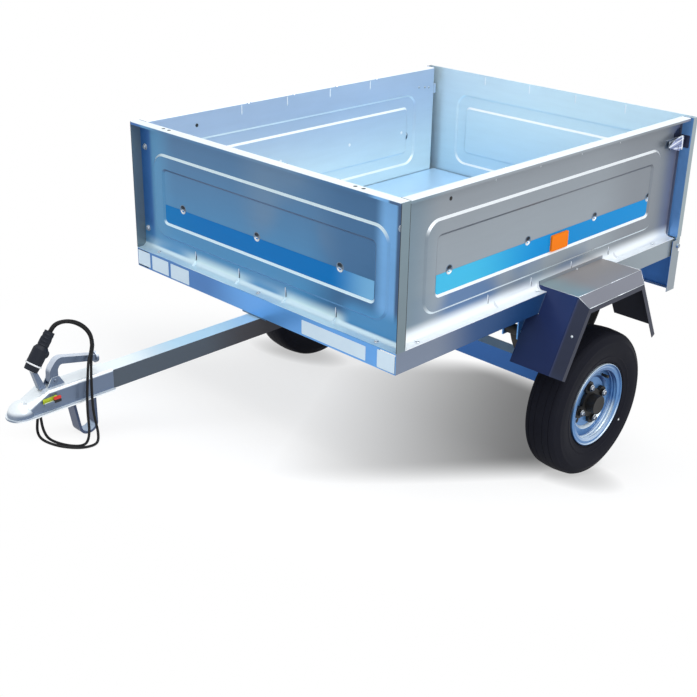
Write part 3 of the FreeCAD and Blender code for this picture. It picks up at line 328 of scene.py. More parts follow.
def zinc(name, plain, faces=(), patches=(), streak=0.10, grain=6.0, metallic=0.35, shine=0.5,
         facings=FACINGS):
    """Zinc-coated steel.

    faces paints light and shade into a facing: its colour, or one low down and one high up.
    patches paints highlights, reflections and shade as another colour on a facing, where its
    place along an axis, in metres, goes from one value to another, and a cloudy patch is
    broken up.
    """
    material, tree, shader = blank_material(name, metallic)
    shader.inputs["Specular IOR Level"].default_value = shine
    seen = place_group(tree, facings)
    sheet = place_group(tree, STREAKS, {"Strength": streak, "Grain": grain})
    rise = ramp(tree, seen["Rise"], *COLOUR_RISE)
    colour = plain
    for side, bottom, *top in faces:
        tint = blend_colour(tree, rise, bottom, top[0]) if top else bottom
        colour = blend_colour(tree, seen[side], colour, tint)
        for facing, axis, near, far, mark, *cloudy in patches:
            if facing != side:
                continue
            share = reckon(tree, "MULTIPLY", ramp(tree, seen[axis], near, far), seen[side])
            # A cloudy patch of painted reflection is broken up by the sheet's clouds
            if cloudy:
                share = reckon(tree, "MULTIPLY", share, sheet["Cloud"])
            colour = blend_colour(tree, share, colour, mark)
    toned = put(tree, "CombineColor", {"Red": sheet["Tone"], "Green": sheet["Tone"],
                                       "Blue": sheet["Tone"]})
    colour = blend_colour(tree, 1.0, colour, toned.outputs["Color"], "MULTIPLY")
    tree.links.new(colour, shader.inputs["Base Color"])
    tree.links.new(sheet["Roughness"], shader.inputs["Roughness"])
    bump(tree, shader, sheet["Height"], SHEET_BUMP, SHEET_RELIEF)
    return material


def coated(name, colour, dusty, size=300.0, dust=0.2, depth=0.12, coat=0.0, shine=0.5):
    """Rubber, plastic or enamel of one colour with a little dust."""
    material, tree, shader = blank_material(name, 0.0, coat)
    shader.inputs["Specular IOR Level"].default_value = shine
    grain = place_group(tree, GRAIN, {"Size": size, "Dust": dust})
    tree.links.new(blend_colour(tree, grain["Dust"], colour, dusty), shader.inputs["Base Color"])
    tree.links.new(grain["Roughness"], shader.inputs["Roughness"])
    bump(tree, shader, grain["Height"], depth, GRAIN_RELIEF)
    return material


# Finishes; in the zinc ones, the colours given to facings and the patches paint light, shade, highlights and
# reflections
# Painted highlight white, for faces turned up, bright edges and creases
HIGHLIGHT_WHITE = srgb(243, 249, 253)
# Painted highlight for the front panel's faces turned up
UP_HIGHLIGHT_BLUE = srgb(214, 240, 252)
# Painted light and shade by facing: dim blue outside, bright inside, dark faces turned down, pale tops. The
# patches paint reflections and shade across the outer face, darker shade on its turned ends, highlights along its
# foot and top rim, and a lighter shade low on faces turned down.
FRONT_SHEET = zinc("front_sheet", srgb(96, 130, 160), (
    ("Front", srgb(68, 140, 190), srgb(76, 122, 164)),
    ("Back", srgb(190, 226, 246), srgb(168, 200, 232)),
    ("Left", srgb(112, 128, 136), srgb(116, 136, 146)),
    ("Down", srgb(50, 80, 120), srgb(70, 100, 135)),
    ("Up", UP_HIGHLIGHT_BLUE, srgb(226, 247, 255))), (
    ("Front", "Across", -0.12, 0.02, srgb(96, 132, 166), "cloudy"),
    ("Front", "Across", 0.14, 0.30, srgb(62, 110, 154)),
    ("Front", "Across", -0.33, -0.42, srgb(84, 146, 190)),
    ("Front", "Across", -0.428, -0.447, srgb(50, 106, 172)),
    ("Front", "Across", 0.376, 0.412, srgb(119, 178, 232)),
    ("Front", "Across", 0.440, 0.449, srgb(66, 98, 136)),
    ("Front", "Rise", 0.092, 0.060, srgb(224, 250, 255)),
    ("Front", "Rise", 0.140, 0.100, srgb(76, 146, 198), "cloudy"),
    ("Down", "Rise", 0.22, 0.16, srgb(90, 150, 200)),
    ("Up", "Rise", 0.33, 0.39, srgb(228, 239, 246))))
# Painted light and shade by facing, lighter inside; the patches paint reflections along the outer face, highlights
# along its foot and rim, and a lighter shade low on faces turned down.
SIDE_SHEET = zinc("side_sheet", srgb(140, 150, 158), (
    ("Left", srgb(150, 161, 170), srgb(142, 150, 158)),
    ("Right", srgb(160, 172, 182), srgb(168, 200, 232)),
    ("Front", srgb(90, 100, 125)),
    ("Down", srgb(80, 88, 100), srgb(100, 105, 115)),
    ("Up", HIGHLIGHT_WHITE)), (
    ("Left", "Rise", 0.162, 0.138, srgb(90, 122, 164), "cloudy"),
    ("Left", "Along", -0.16, -0.40, srgb(128, 135, 143)),
    ("Left", "Along", -0.50, -0.575, srgb(122, 128, 152)),
    ("Left", "Along", 0.42, 0.54, srgb(118, 138, 152)),
    ("Left", "Rise", 0.092, 0.062, HIGHLIGHT_WHITE),
    ("Down", "Rise", 0.22, 0.16, srgb(226, 238, 244)),
    ("Up", "Rise", 0.33, 0.39, srgb(228, 238, 244))))
# Painted light by facing, brightest on the inner face seen across the load space; the patches paint reflections
# and a highlight along the foot of the outer face.
FAR_SIDE_SHEET = zinc("far_side_sheet", srgb(150, 165, 178), (
    ("Left", srgb(221, 239, 242), srgb(181, 201, 226)),
    ("Right", srgb(150, 161, 170), srgb(142, 150, 158)),
    ("Down", srgb(206, 228, 240), srgb(228, 242, 250)),
    ("Up", HIGHLIGHT_WHITE)), (
    ("Right", "Along", -0.10, -0.46, srgb(126, 134, 143)),
    ("Right", "Rise", 0.162, 0.138, srgb(90, 122, 164), "cloudy"),
    ("Right", "Rise", 0.092, 0.062, HIGHLIGHT_WHITE)))
# Painted light by facing, brightest on the inner face; the patch paints shade on faces turned forward ahead of the
# gate's inner face.
GATE_SHEET = zinc("gate_sheet", srgb(150, 165, 178), (
    ("Back", srgb(140, 155, 170), srgb(150, 162, 175)),
    ("Left", srgb(150, 164, 170)),
    ("Front", srgb(200, 225, 239), srgb(228, 247, 253)),
    ("Up", HIGHLIGHT_WHITE)), (
    ("Front", "Along", -0.590, -0.585, srgb(98, 148, 206)),))
# Painted light on the floor board's upper face, paler towards its front
FLOOR_SHEET = zinc("floor_sheet", srgb(150, 180, 200), (
    ("Up", srgb(186, 219, 244)),), (
    ("Up", "Along", -0.25, 0.20, srgb(230, 237, 235)),), streak=0.22, grain=3.0)
# Painted light and shade by facing; the patches paint reflections and shade along the rails' faces.
RAIL_STEEL = zinc("rail_steel", srgb(110, 130, 150), (
    ("Front", srgb(100, 166, 234)),
    ("Left", srgb(140, 152, 160)),
    ("Down", srgb(60, 70, 85)),
    ("Up", srgb(170, 200, 222), srgb(200, 220, 235))), (
    ("Front", "Across", -0.02, -0.20, srgb(68, 124, 190)),
    ("Left", "Along", -0.30, 0.10, srgb(30, 72, 122)),
    ("Left", "Along", 0.30, 0.48, srgb(114, 126, 146))))
# Painted highlight on the faces turned up
HOOP_STEEL = zinc("hoop_steel", srgb(66, 80, 110), (
    ("Up", srgb(176, 196, 220)),), metallic=0.45)
# Painted light and shade by facing
BOARD_STEEL = zinc("board_steel", srgb(110, 130, 150), (
    ("Front", srgb(60, 124, 206)),
    ("Back", srgb(130, 144, 158)),
    ("Left", srgb(140, 150, 158)),
    ("Up", srgb(190, 210, 226))))
# Painted light and shade by facing; the patches paint its top's light and its sides' darker shade back from the
# coupling.
TUBE_STEEL = zinc("tube_steel", srgb(100, 112, 124), (
    ("Front", srgb(90, 120, 150)),
    ("Left", srgb(73, 84, 96)),
    ("Down", srgb(60, 66, 76)),
    ("Up", srgb(234, 245, 252))), (
    ("Left", "Along", 0.80, 0.64, srgb(62, 62, 68)),
    ("Up", "Along", 1.00, 0.80, srgb(206, 240, 255))), grain=4.0)
# Painted light and shade by facing, and a painted highlight along the lower edge of its side
COUPLING_ZINC = zinc("coupling_zinc", srgb(126, 140, 158), (
    ("Left", srgb(104, 119, 142)),
    ("Down", srgb(60, 66, 76)),
    ("Up", srgb(238, 246, 251))), (
    ("Left", "Rise", -0.0462, -0.0472, HIGHLIGHT_WHITE),), metallic=0.5, grain=9.0)
# Painted light and shade by facing
HANDLE_ZINC = zinc("handle_zinc", srgb(112, 124, 144), (
    ("Left", srgb(92, 106, 128)),
    ("Down", srgb(44, 48, 62)),
    ("Up", srgb(206, 216, 230))), metallic=0.45)
# Painted light and shade by facing
LEVER_ZINC = zinc("lever_zinc", srgb(168, 178, 214), (
    ("Left", srgb(168, 178, 216)),
    ("Down", srgb(40, 44, 96)),
    ("Up", HIGHLIGHT_WHITE)), metallic=0.5, grain=30.0, streak=0.8)
# Painted highlight on the faces turned up
NUT_STEEL = zinc("nut_steel", srgb(70, 84, 104), (("Up", HIGHLIGHT_WHITE),), metallic=0.6)
# Painted light and shade by facing; the patches paint highlights on the inner upstands and the top, a darker shade
# on part of the front leg, and clouded reflections low on it.
GUARD_SHEET = zinc("guard_sheet", srgb(60, 66, 84), (
    ("Left", srgb(36, 42, 62)),
    ("Right", srgb(36, 42, 62)),
    ("Up", srgb(124, 127, 138)),
    ("Top", srgb(164, 158, 156)),
    ("Fore", srgb(46, 60, 106)),
    ("Back", srgb(46, 60, 106)),
    ("Down", srgb(22, 22, 24))), (
    ("Left", "Across", 0.500, 0.488, srgb(150, 158, 168)),
    ("Right", "Across", -0.500, -0.488, srgb(150, 158, 168)),
    ("Top", "Along", -0.08, 0.02, srgb(150, 172, 176)),
    ("Fore", "Across", 0.568, 0.578, srgb(24, 32, 54)),
    ("Fore", "Rise", 0.03, -0.10, srgb(38, 52, 84), "cloudy")), metallic=0.5, grain=4.0)
# Painted highlight on the faces turned up
BOLT_ZINC = zinc("bolt_zinc", srgb(150, 165, 180), (("Up", HIGHLIGHT_WHITE),), metallic=0.6)
# Painted shade on the dents' faces turned down and a painted highlight on those turned up
DENT_ZINC = zinc("dent_zinc", srgb(112, 136, 160), (
    ("Down", srgb(20, 26, 40)), ("Up", HIGHLIGHT_WHITE)), metallic=0.2)
# Painted highlight white, for bright edges, creases and the dents' backs
HIGHLIGHT_ZINC = zinc("highlight_zinc", HIGHLIGHT_WHITE, metallic=0.1)
# Dark steel with a painted highlight on faces turned up; also the colour of painted shade lines on the gussets and
# levers
DARK_STEEL = zinc("dark_steel", srgb(44, 50, 74), (("Up", srgb(120, 134, 170)),))
# Painted light and shade on the wheels, bright on faces turned up and dark on those turned down, as the wheel
# stands
WHEEL_SILVER = zinc("wheel_silver", srgb(88, 134, 186), (
    ("Up", srgb(218, 234, 246)),
    ("Down", srgb(34, 68, 124))), metallic=0.4, grain=8.0, facings=WHEEL_FACINGS)
BLACK_RUBBER = coated("black_rubber", srgb(27, 28, 36), srgb(40, 42, 46), shine=0.05)
HUB_BLACK = coated("hub_black", srgb(12, 12, 13), srgb(28, 29, 30), size=140.0)
SPRING_BLACK = coated("spring_black", srgb(32, 32, 34), srgb(86, 76, 66), size=120.0, dust=0.5)
BLACK_PLASTIC = coated("black_plastic", srgb(20, 20, 22), srgb(58, 58, 60), size=500.0)
PLUG_BLACK = coated("plug_black", srgb(10, 18, 32), srgb(30, 40, 58), size=500.0, shine=0.35)
CABLE_BLACK = coated("cable_black", srgb(10, 10, 13), srgb(38, 38, 44), size=700.0, shine=0.3)
AMBER = coated("reflector_amber", srgb(246, 124, 0), srgb(246, 138, 20), size=900.0, shine=0.2)
LAMP_RED = coated("lamp_red", srgb(168, 16, 14), srgb(190, 60, 50), size=900.0, coat=0.6)
LAMP_AMBER = coated("lamp_amber", srgb(226, 116, 20), srgb(230, 150, 80), size=900.0, coat=0.6)
GAUGE_GREEN = coated("gauge_green", srgb(178, 194, 40), srgb(190, 200, 110), size=600.0)
GAUGE_RED = coated("gauge_red", srgb(206, 44, 36), srgb(200, 90, 80), size=600.0)
LABEL_WHITE = coated("label_white", srgb(214, 234, 248), srgb(190, 214, 234), size=40.0,
                     depth=0.02)
# Blue paint; the patches paint reflections along it, paler towards the trailer's left end
STRIPE_FRONT = zinc("stripe_front", srgb(16, 116, 200), (
    ("Front", srgb(0, 116, 190)),), (
    ("Front", "Across", -0.20, -0.40, srgb(0, 122, 192)),
    ("Front", "Across", 0.24, 0.38, srgb(122, 182, 224))), streak=0.05, metallic=0.0,
    shine=0.1)
# Blue paint; the patches paint a paler reflection towards the front
STRIPE_SIDE = zinc("stripe_side", srgb(40, 156, 226), (
    ("Left", srgb(0, 140, 210)),
    ("Right", srgb(0, 140, 210))), (
    ("Left", "Along", 0.02, 0.34, srgb(66, 182, 222)),
    ("Right", "Along", 0.02, 0.34, srgb(66, 182, 222))), streak=0.05, metallic=0.0,
    shine=0.1)
WHITE_PLASTIC = coated("white_plastic", srgb(225, 228, 230), srgb(190, 195, 200), size=500.0)


def finish_nodes():
    """Gives each carried-over solid its finish."""
    by_name = {
        "front_panel": FRONT_SHEET, "left_side_panel": SIDE_SHEET,
        "right_side_panel": FAR_SIDE_SHEET, "tailgate": GATE_SHEET, "floor_board": FLOOR_SHEET,
        "left_chassis_rail": RAIL_STEEL, "right_chassis_rail": RAIL_STEEL,
        "front_chassis_rail": RAIL_STEEL, "rear_chassis_rail": RAIL_STEEL,
        "cross_member": RAIL_STEEL, "lamp_board": BOARD_STEEL, "axle_beam": BOARD_STEEL,
        "drawbar_tube": TUBE_STEEL, "drawbar_front_plate": TUBE_STEEL,
        "drawbar_rear_plate": TUBE_STEEL, "stand_hoop": HOOP_STEEL,
        "ball_coupling": COUPLING_ZINC, "coupling_handle": HANDLE_ZINC,
        "coupling_catch": COUPLING_ZINC, "cable_outlet": CABLE_BLACK, "plug": PLUG_BLACK,
        "cable_near": CABLE_BLACK, "cable_far": CABLE_BLACK, "wear_gauge": GAUGE_GREEN,
        "right_latch_keeper": FAR_SIDE_SHEET}
    by_ending = {
        "tyre": BLACK_RUBBER, "wheel_rim": WHEEL_SILVER, "hub": HUB_BLACK,
        "stub_axle": SPRING_BLACK, "leaf_spring": SPRING_BLACK, "spring_front_hanger": RAIL_STEEL,
        "spring_rear_hanger": RAIL_STEEL, "mudguard": GUARD_SHEET, "rear_lamp": BLACK_PLASTIC,
        "side_reflector": AMBER, "gate_latch": COUPLING_ZINC, "latch_keeper": DARK_STEEL}
    for name, item in nodes.items():
        ending = name.split("_", 1)[-1]
        item.data.materials.clear()
        item.data.materials.append(by_name.get(name) or by_ending[ending])
    for cable in CABLES:
        cable.data.materials.append(CABLE_BLACK)


finish_nodes()


# Making pieces
def new_piece(name, mesh_maker, material, body, soft=True):
    """A mesh piece that rides on a body; mesh_maker fills a bmesh in the level drawing, in mm."""
    shape = bmesh.new()
    mesh_maker(shape)
    for vertex in shape.verts:
        vertex.co = spot(*vertex.co)
    bmesh.ops.recalc_face_normals(shape, faces=shape.faces)
    mesh = bpy.data.meshes.new(name)
    shape.to_mesh(mesh)
    shape.free()
    if soft:
        mesh.shade_smooth()
    mesh.materials.append(material)
    piece = bpy.data.objects.new(name, mesh)
    bpy.context.scene.collection.objects.link(piece)
    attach(piece, body)
    return piece


def sharpen(piece, degrees=35):
    """Keeps edges crisp where faces meet at more than this angle."""
    piece.data.set_sharp_from_angle(angle=math.radians(degrees))


def join_rings(shape, rings):
    """Adds faces from each ring of corners to the next; a ring may be a single point."""
    around = max(len(ring) for ring in rings)
    for low, high in zip(rings, rings[1:]):
        for i in range(around):
            j = (i + 1) % around
            corners = [low[i % len(low)], low[j % len(low)], high[j % len(high)],
                       high[i % len(high)]]
            shape.faces.new(list(dict.fromkeys(corners)))


def turned(shape, profile, place, axis, around=32):
    """Adds a body of revolution: (radius, height) points about an axis through a place."""
    turn = Vector(axis).to_track_quat("Z", "Y").to_matrix()
    rings = []
    for radius, height in profile:
        if radius == 0:
            rings.append([shape.verts.new(Vector(place) + turn @ Vector((0, 0, height)))])
            continue
        ring = []
        for i in range(around):
            a = 2 * math.pi * i / around
            ring.append(shape.verts.new(Vector(place) + turn @ Vector(
                (radius * math.cos(a), radius * math.sin(a), height))))
        rings.append(ring)
    join_rings(shape, rings)


def slab(shape, corners, way, thickness):
    """Adds a flat plate: its corners in order, and how thick it is along a direction."""
    push = Vector(way).normalized() * thickness
    base = [shape.verts.new(Vector(c)) for c in corners]
    top = [shape.verts.new(Vector(c) + push) for c in corners]
    shape.faces.new(base)
    shape.faces.new(top)
    for i, low in enumerate(base):
        j = (i + 1) % len(base)
        shape.faces.new((low, base[j], top[j], top[i]))


def bar(shape, start, end, radius, sides=6):
    """Adds a thin straight bar between two places."""
    way = Vector(end) - Vector(start)
    turned(shape, [(0, 0), (radius, 0), (radius, way.length), (0, way.length)], start, way, sides)


def rounded_corners(low, high, radii, steps=5):
    """Corners of a flat outline between two (u, v) corners, each corner rounded by its radius."""
    (u0, v0), (u1, v1) = low, high
    out = []
    for (u, v), (su, sv), start, r in (((u0, v0), (1, 1), 180, radii[0]),
                                       ((u1, v0), (-1, 1), 270, radii[1]),
                                       ((u1, v1), (-1, -1), 0, radii[2]),
                                       ((u0, v1), (1, -1), 90, radii[3])):
        if r == 0:
            out.append((u, v))
            continue
        for i in range(steps + 1):
            a = math.radians(start + 90 * i / steps)
            out.append((u + su * r + r * math.cos(a), v + sv * r + r * math.sin(a)))
    return out


def bolt_row(name, places, size, body, material=BOLT_ZINC):
    """Flanged hex heads, joined: each place with the direction its head faces."""
    def fill(shape):
        for place, way in places:
            turned(shape, [(0, 0.1), (1.25 * size, 0.1), (1.3 * size, 0.5), (1.05 * size, 1.3)],
                   place, way, 20)
            turned(shape, [(0.95 * size, 0.9), (0.95 * size, 0.62 * size),
                           (0.8 * size, 0.78 * size), (0, 0.8 * size)], place, way, 6)
    sharpen(new_piece(name, fill, material, body))


def dark_holes(name, places, radius, body):
    """Small open holes, drawn as flat dark discs."""
    def fill(shape):
        for place, way in places:
            turned(shape, [(0, 0.05), (radius, 0.05), (radius * 0.8, 0.25), (0, 0.2)],
                   place, way, 20)
    new_piece(name, fill, HUB_BLACK, body)


SIDES = ((1, "left"), (-1, "right"))

# Sizes of the level drawing that the dressing needs, in mm
SHEET = 1.2
WEB_FRONT = 571.0             # outer faces of the pressed panels
WEB_SIDE = 452.0
INNER_SIDE = WEB_SIDE - SHEET
RIM_FRONT = 600.0             # outer edges of the folded rims
RIM_SIDE = 481.0
RIM_TOP = 399.0
RAIL_TOP = 51.0
FOOT_TOP = RAIL_TOP + SHEET   # the panels' feet lie on the rails
GATE_INSIDE = -600.0
GUSSETS_FRONT = (-261, -87, 87, 261)
GUSSETS_SIDE = (-274, -101, 72, 245)
GUARD_MIDDLE = WHEEL_LEVEL.x
GUARD_TOP = 62.2
GUARD_LOW = 34.2              # foot of the slope along its outer edge
GUARD_BEND = 573.0
GUARD_EDGE = 598.0
GUARD_CROWN = 142.0           # half the length of its flat top
GUARD_SLOPE = 125.2           # half the length of the slope's lower edge
SKIN = 0.25                   # how far paint and labels stand off the sheet
OFF = 0.2                     # how far pieces on an inner face stand off it
STRIPE = (141.3, 190)         # from the pressed field's lower edge to the dents
STRIPE_CORNERS = (10, 10, 0, 0)
PAINT = 0.15                  # thickness of the stripe


# Paint, plates and holes on the body
def make_stripes():
    """Painted stripe low in the pressed field of the front and of both sides."""
    low, high = STRIPE
    front = [(WEB_FRONT + SKIN, y, z) for y, z in
             rounded_corners((-382.5, low), (382.5, high), STRIPE_CORNERS)]
    new_piece("stripe_front", lambda s: slab(s, front, (1, 0, 0), PAINT), STRIPE_FRONT, "chassis",
              False)
    for side, label in SIDES:
        outline = [(x, side * (WEB_SIDE + SKIN), z) for x, z in
                   rounded_corners((-447.5, low), (442.5, high), STRIPE_CORNERS)]
        new_piece("stripe_" + label, lambda s: slab(s, outline, (0, side, 0), PAINT), STRIPE_SIDE,
                  "chassis", False)


def make_dimples():
    """Round dents pressed along the top of each stripe, and their backs inside."""
    radius, steepest = 12.5, 1.15
    places = [(Vector((WEB_FRONT, y, 192.5)), Vector((1, 0, 0))) for y in (-308, -16, 273)]
    for side in (-1, 1):
        places += [(Vector((x, side * WEB_SIDE, 193)), Vector((0, side, 0)))
                   for x in (397, 100, -188, -446)]

    def fill(shape):
        for place, way in places:
            turned(shape, [(radius, 0.1), (12.0, 0.4), (9.5, 0.45), (6.0, 0.4), (3.0, 0.35),
                           (0, 0.35)], place, way, 24)
    dents = new_piece("stripe_dents", fill, DENT_ZINC, "chassis")

    # The discs are nearly flat, and leaning normals shade them as hollows, through the lamps and through the dent
    # finish's painted shade and highlight
    lean = []
    for vertex in dents.data.vertices:
        at = drawn(vertex.co)
        place, way = min(places, key=lambda p: (p[0] - at).length)
        spoke = at - place
        spoke -= way * spoke.dot(way)
        steep = steepest * math.sin(math.pi * min(spoke.length / radius, 1.0))
        inward = -spoke.normalized() if spoke.length > 0.01 else Vector((0, 0, 0))
        lean.append(heading(*(way * math.cos(steep) + inward * math.sin(steep))))
    dents.data.normals_split_custom_set_from_vertices(lean)

    # The backs inside are small bumps in painted highlight white
    def backs(shape):
        for side in (-1, 1):
            for x in (397, 100, -188, -426):
                turned(shape, [(5.0, 0.1), (3.5, 0.9), (1.6, 1.4), (0, 1.5)],
                       (x, side * INNER_SIDE, 208), (0, -side, 0), 16)
    new_piece("dent_backs", backs, HIGHLIGHT_ZINC, "chassis")


def make_labels():
    """Blank plates on the front rail."""
    x = RIM_FRONT + SKIN

    def fill(shape):
        for y0, y1, z0, z1 in ((-478, -425, 6, 47), (-416, -344, 5, 45), (-334, -256, 4, 44),
                               (176, 388, 5, 41), (424, 478, 3, 47)):
            outline = [(x, y, z) for y, z in rounded_corners((y0, z0), (y1, z1), (2, 2, 2, 2), 3)]
            slab(shape, outline, (1, 0, 0), 0.2)
    new_piece("front_rail_plates", fill, LABEL_WHITE, "chassis", False)


def make_body_holes():
    """Open holes at the sides' front top corners and in the front rim."""
    places = []
    for side in (-1, 1):
        places += [((405, side * (WEB_SIDE + SKIN), 363), (0, side, 0)),
                   ((405, side * (INNER_SIDE - OFF), 363), (0, -side, 0))]
    for y in (-359, -336, 329, 354):
        places.append(((584, y, RIM_TOP), (0, 0, 1)))
    dark_holes("body_holes", places, 5, "chassis")


def make_body_bolts():
    """Bolts in the front corners, along the feet inside, and rivets at the rear corners."""
    front = (1, 0, 0)
    places = []
    for y in (-461, 457):
        places += [((WEB_FRONT, y, 330), front), ((WEB_FRONT, math.copysign(466, y), 104), front)]
    bolt_row("corner_bolts", places, 6.5, "chassis")
    places = [((582, y, FOOT_TOP), (0, 0, 1)) for y in (-406, 0, 404)]
    for side in (-1, 1):
        places += [((x, side * 467, FOOT_TOP), (0, 0, 1)) for x in (515, 60, -480)]
    bolt_row("foot_bolts", places, 5, "chassis")
    places = [((x, side * (INNER_SIDE - OFF), z), (0, -side, 0))
              for side in (-1, 1) for x, z in ((-503, 344), (-532, 341), (-551, 338))]
    bolt_row("rear_corner_rivets", places, 2.6, "chassis")


def make_rim_creases():
    """Short creases that stiffen the bend under the rim, inside the load space."""
    # The creases are drawn in painted highlight white
    drop = [(0, 0), (1.1, 3), (1.8, 8), (1.3, 14), (1.3, 24), (0, 28)]
    foot = 367

    def sides(shape):
        for x in GUSSETS_SIDE:
            for side in (-1, 1):
                turned(shape, drop, (x, side * (INNER_SIDE - OFF), foot), (0, 0, 1), 8)
    new_piece("side_rim_creases", sides, HIGHLIGHT_ZINC, "chassis")

    def gate(shape):
        for y in (-258, -85, 85, 258):
            turned(shape, drop, (GATE_INSIDE + OFF, y, foot), (0, 0, 1), 8)
    new_piece("gate_rim_creases", gate, HIGHLIGHT_ZINC, "tailgate")


def make_gusset_edges():
    """Painted highlights and painted shade along the edges of the gussets that stand in the bend above the foot.
    """
    above, below, foot = 0.3, 0.5, 66

    def edges(shift, radius, top):
        def fill(shape):
            for place in GUSSETS_FRONT:
                bar(shape, (WEB_FRONT + above, place + shift, top),
                    (WEB_FRONT + below, place + shift, foot), radius)
            for place in GUSSETS_SIDE:
                for side in (-1, 1):
                    bar(shape, (place - shift, side * (WEB_SIDE + above), top),
                        (place - shift, side * (WEB_SIDE + below), foot), radius)
        return fill
    new_piece("gusset_lights", edges(0, 0.9, 90), HIGHLIGHT_ZINC, "chassis")
    new_piece("gusset_shades", edges(2.6, 0.8, 84), DARK_STEEL, "chassis")


def make_corner_shade_lines():
    """Thin dark lines of painted shadow along the front panel's turned ends, where they meet the sides."""
    def fill(shape):
        for side in (-1, 1):
            x, y = RIM_FRONT - 0.1, side * (RIM_SIDE - 0.1)
            bar(shape, (x, y, 53), (x, y, 397), 0.7)
            x, y = WEB_FRONT + OFF, side * RIM_SIDE
            bar(shape, (x, y, 60), (x, y, 392), 0.5)
    new_piece("corner_shade_lines", fill, HUB_BLACK, "chassis")


def make_guard_trim():
    """Painted highlights along the mudguards' folded edges, and the mudguards' bolts."""
    def edges(shape):
        for side in (-1, 1):
            for way in (-1, 1):
                x = GUARD_MIDDLE + way * GUARD_CROWN
                top = (x, side * GUARD_BEND, GUARD_TOP)
                low = (GUARD_MIDDLE + way * GUARD_SLOPE, side * GUARD_EDGE, GUARD_LOW)
                bar(shape, top, low, 0.6)
                bar(shape, top, (GUARD_MIDDLE, side * GUARD_BEND, GUARD_TOP), 0.8)
                bar(shape, low, (GUARD_MIDDLE, side * GUARD_EDGE, GUARD_LOW), 0.8)
                bar(shape, top, (x, side * 466, GUARD_TOP), 0.5)
    new_piece("guard_edge_highlights", edges, BOLT_ZINC, "chassis")
    places = []
    for side in (-1, 1):
        for way in (-1, 1):
            places.append(((GUARD_MIDDLE + way * 174.2, side * 586.4, -30.2),
                           (way * 0.59, side * 0.75, 0.31)))
    bolt_row("guard_bolts", places, 2.6, "chassis")


def make_latch_levers():
    """Folded plate lever over each latch, with bright bars of painted highlight and dark bars of painted shade
    across it, its bracket, and the catch on the gate.
    """
    for side, label in SIDES:
        y = side * 468.6

        def lever(shape):
            fan = [(-497, 327), (-520, 342), (-545, 350), (-571, 347), (-571, 316), (-552, 309),
                   (-525, 317)]
            slab(shape, [(x, y, z) for x, z in fan], (0, side, 0), 1.6)
        new_piece(label + "_latch_lever", lever, LEVER_ZINC, "chassis", False)

        def highlight_bars(shape):
            bar(shape, (-498, y + side, 327), (-569, y + side, 341), 1.6)
            bar(shape, (-524, y + side, 319), (-569, y + side, 316), 1.4)
            bar(shape, (-566, y + side, 311), (-563, y + side, 350), 2.4)
            bar(shape, (-540, y + side, 347), (-560, y + side, 349), 1.8)
        sharpen(new_piece(label + "_latch_highlight_bars", highlight_bars, HIGHLIGHT_ZINC, "chassis"))

        def shadows(shape):
            bar(shape, (-499, y + side, 322), (-560, y + side, 329), 2.2)
            bar(shape, (-524, y + side, 341), (-556, y + side, 343), 1.8)
            bar(shape, (-545, y + side, 324), (-546, y + side, 311), 1.6)
        sharpen(new_piece(label + "_latch_shade_bars", shadows, DARK_STEEL, "chassis"))

        def bracket(shape):
            slab(shape, [(x, side * 452.2, z) for x, z in (
                (-548, 344), (-546, 356), (-556, 366), (-574, 368), (-574, 344))], (0, side, 0), 2)
        new_piece(label + "_latch_bracket", bracket, DARK_STEEL, "chassis", False)

        def catch(shape):
            corners = [(-579.9, side * y, z) for y, z in
                       rounded_corners((456, 314), (483, 349), (2, 2, 2, 2), 3)]
            slab(shape, corners, (1, 0, 0), 1.0)
        new_piece(label + "_gate_catch", catch, DARK_STEEL, "tailgate", False)


def make_lamp_lenses():
    """Red and amber lenses with fine ribs on the rear lamps."""
    def lens(y0, y1):
        def fill(shape):
            for side in (-1, 1):
                corners = [(-635.4, side * y, z) for y, z in
                           rounded_corners((y0, -80), (y1, -6), (4, 4, 4, 4), 3)]
                slab(shape, corners, (-1, 0, 0), 2.4)
                for z in range(-73, -12, 10):
                    bar(shape, (-637.8, side * (y0 + 4), z), (-637.8, side * (y1 - 4), z), 0.9)
        return fill
    new_piece("lamp_lens_red", lens(396, 456), LAMP_RED, "chassis", False)
    new_piece("lamp_lens_amber", lens(336, 392), LAMP_AMBER, "chassis", False)
    places = [((-601.5, y, z), (-1, 0, 0)) for y in (-250, 250) for z in (-88, 25)]
    bolt_row("lamp_board_bolts", places, 4.5, "chassis")


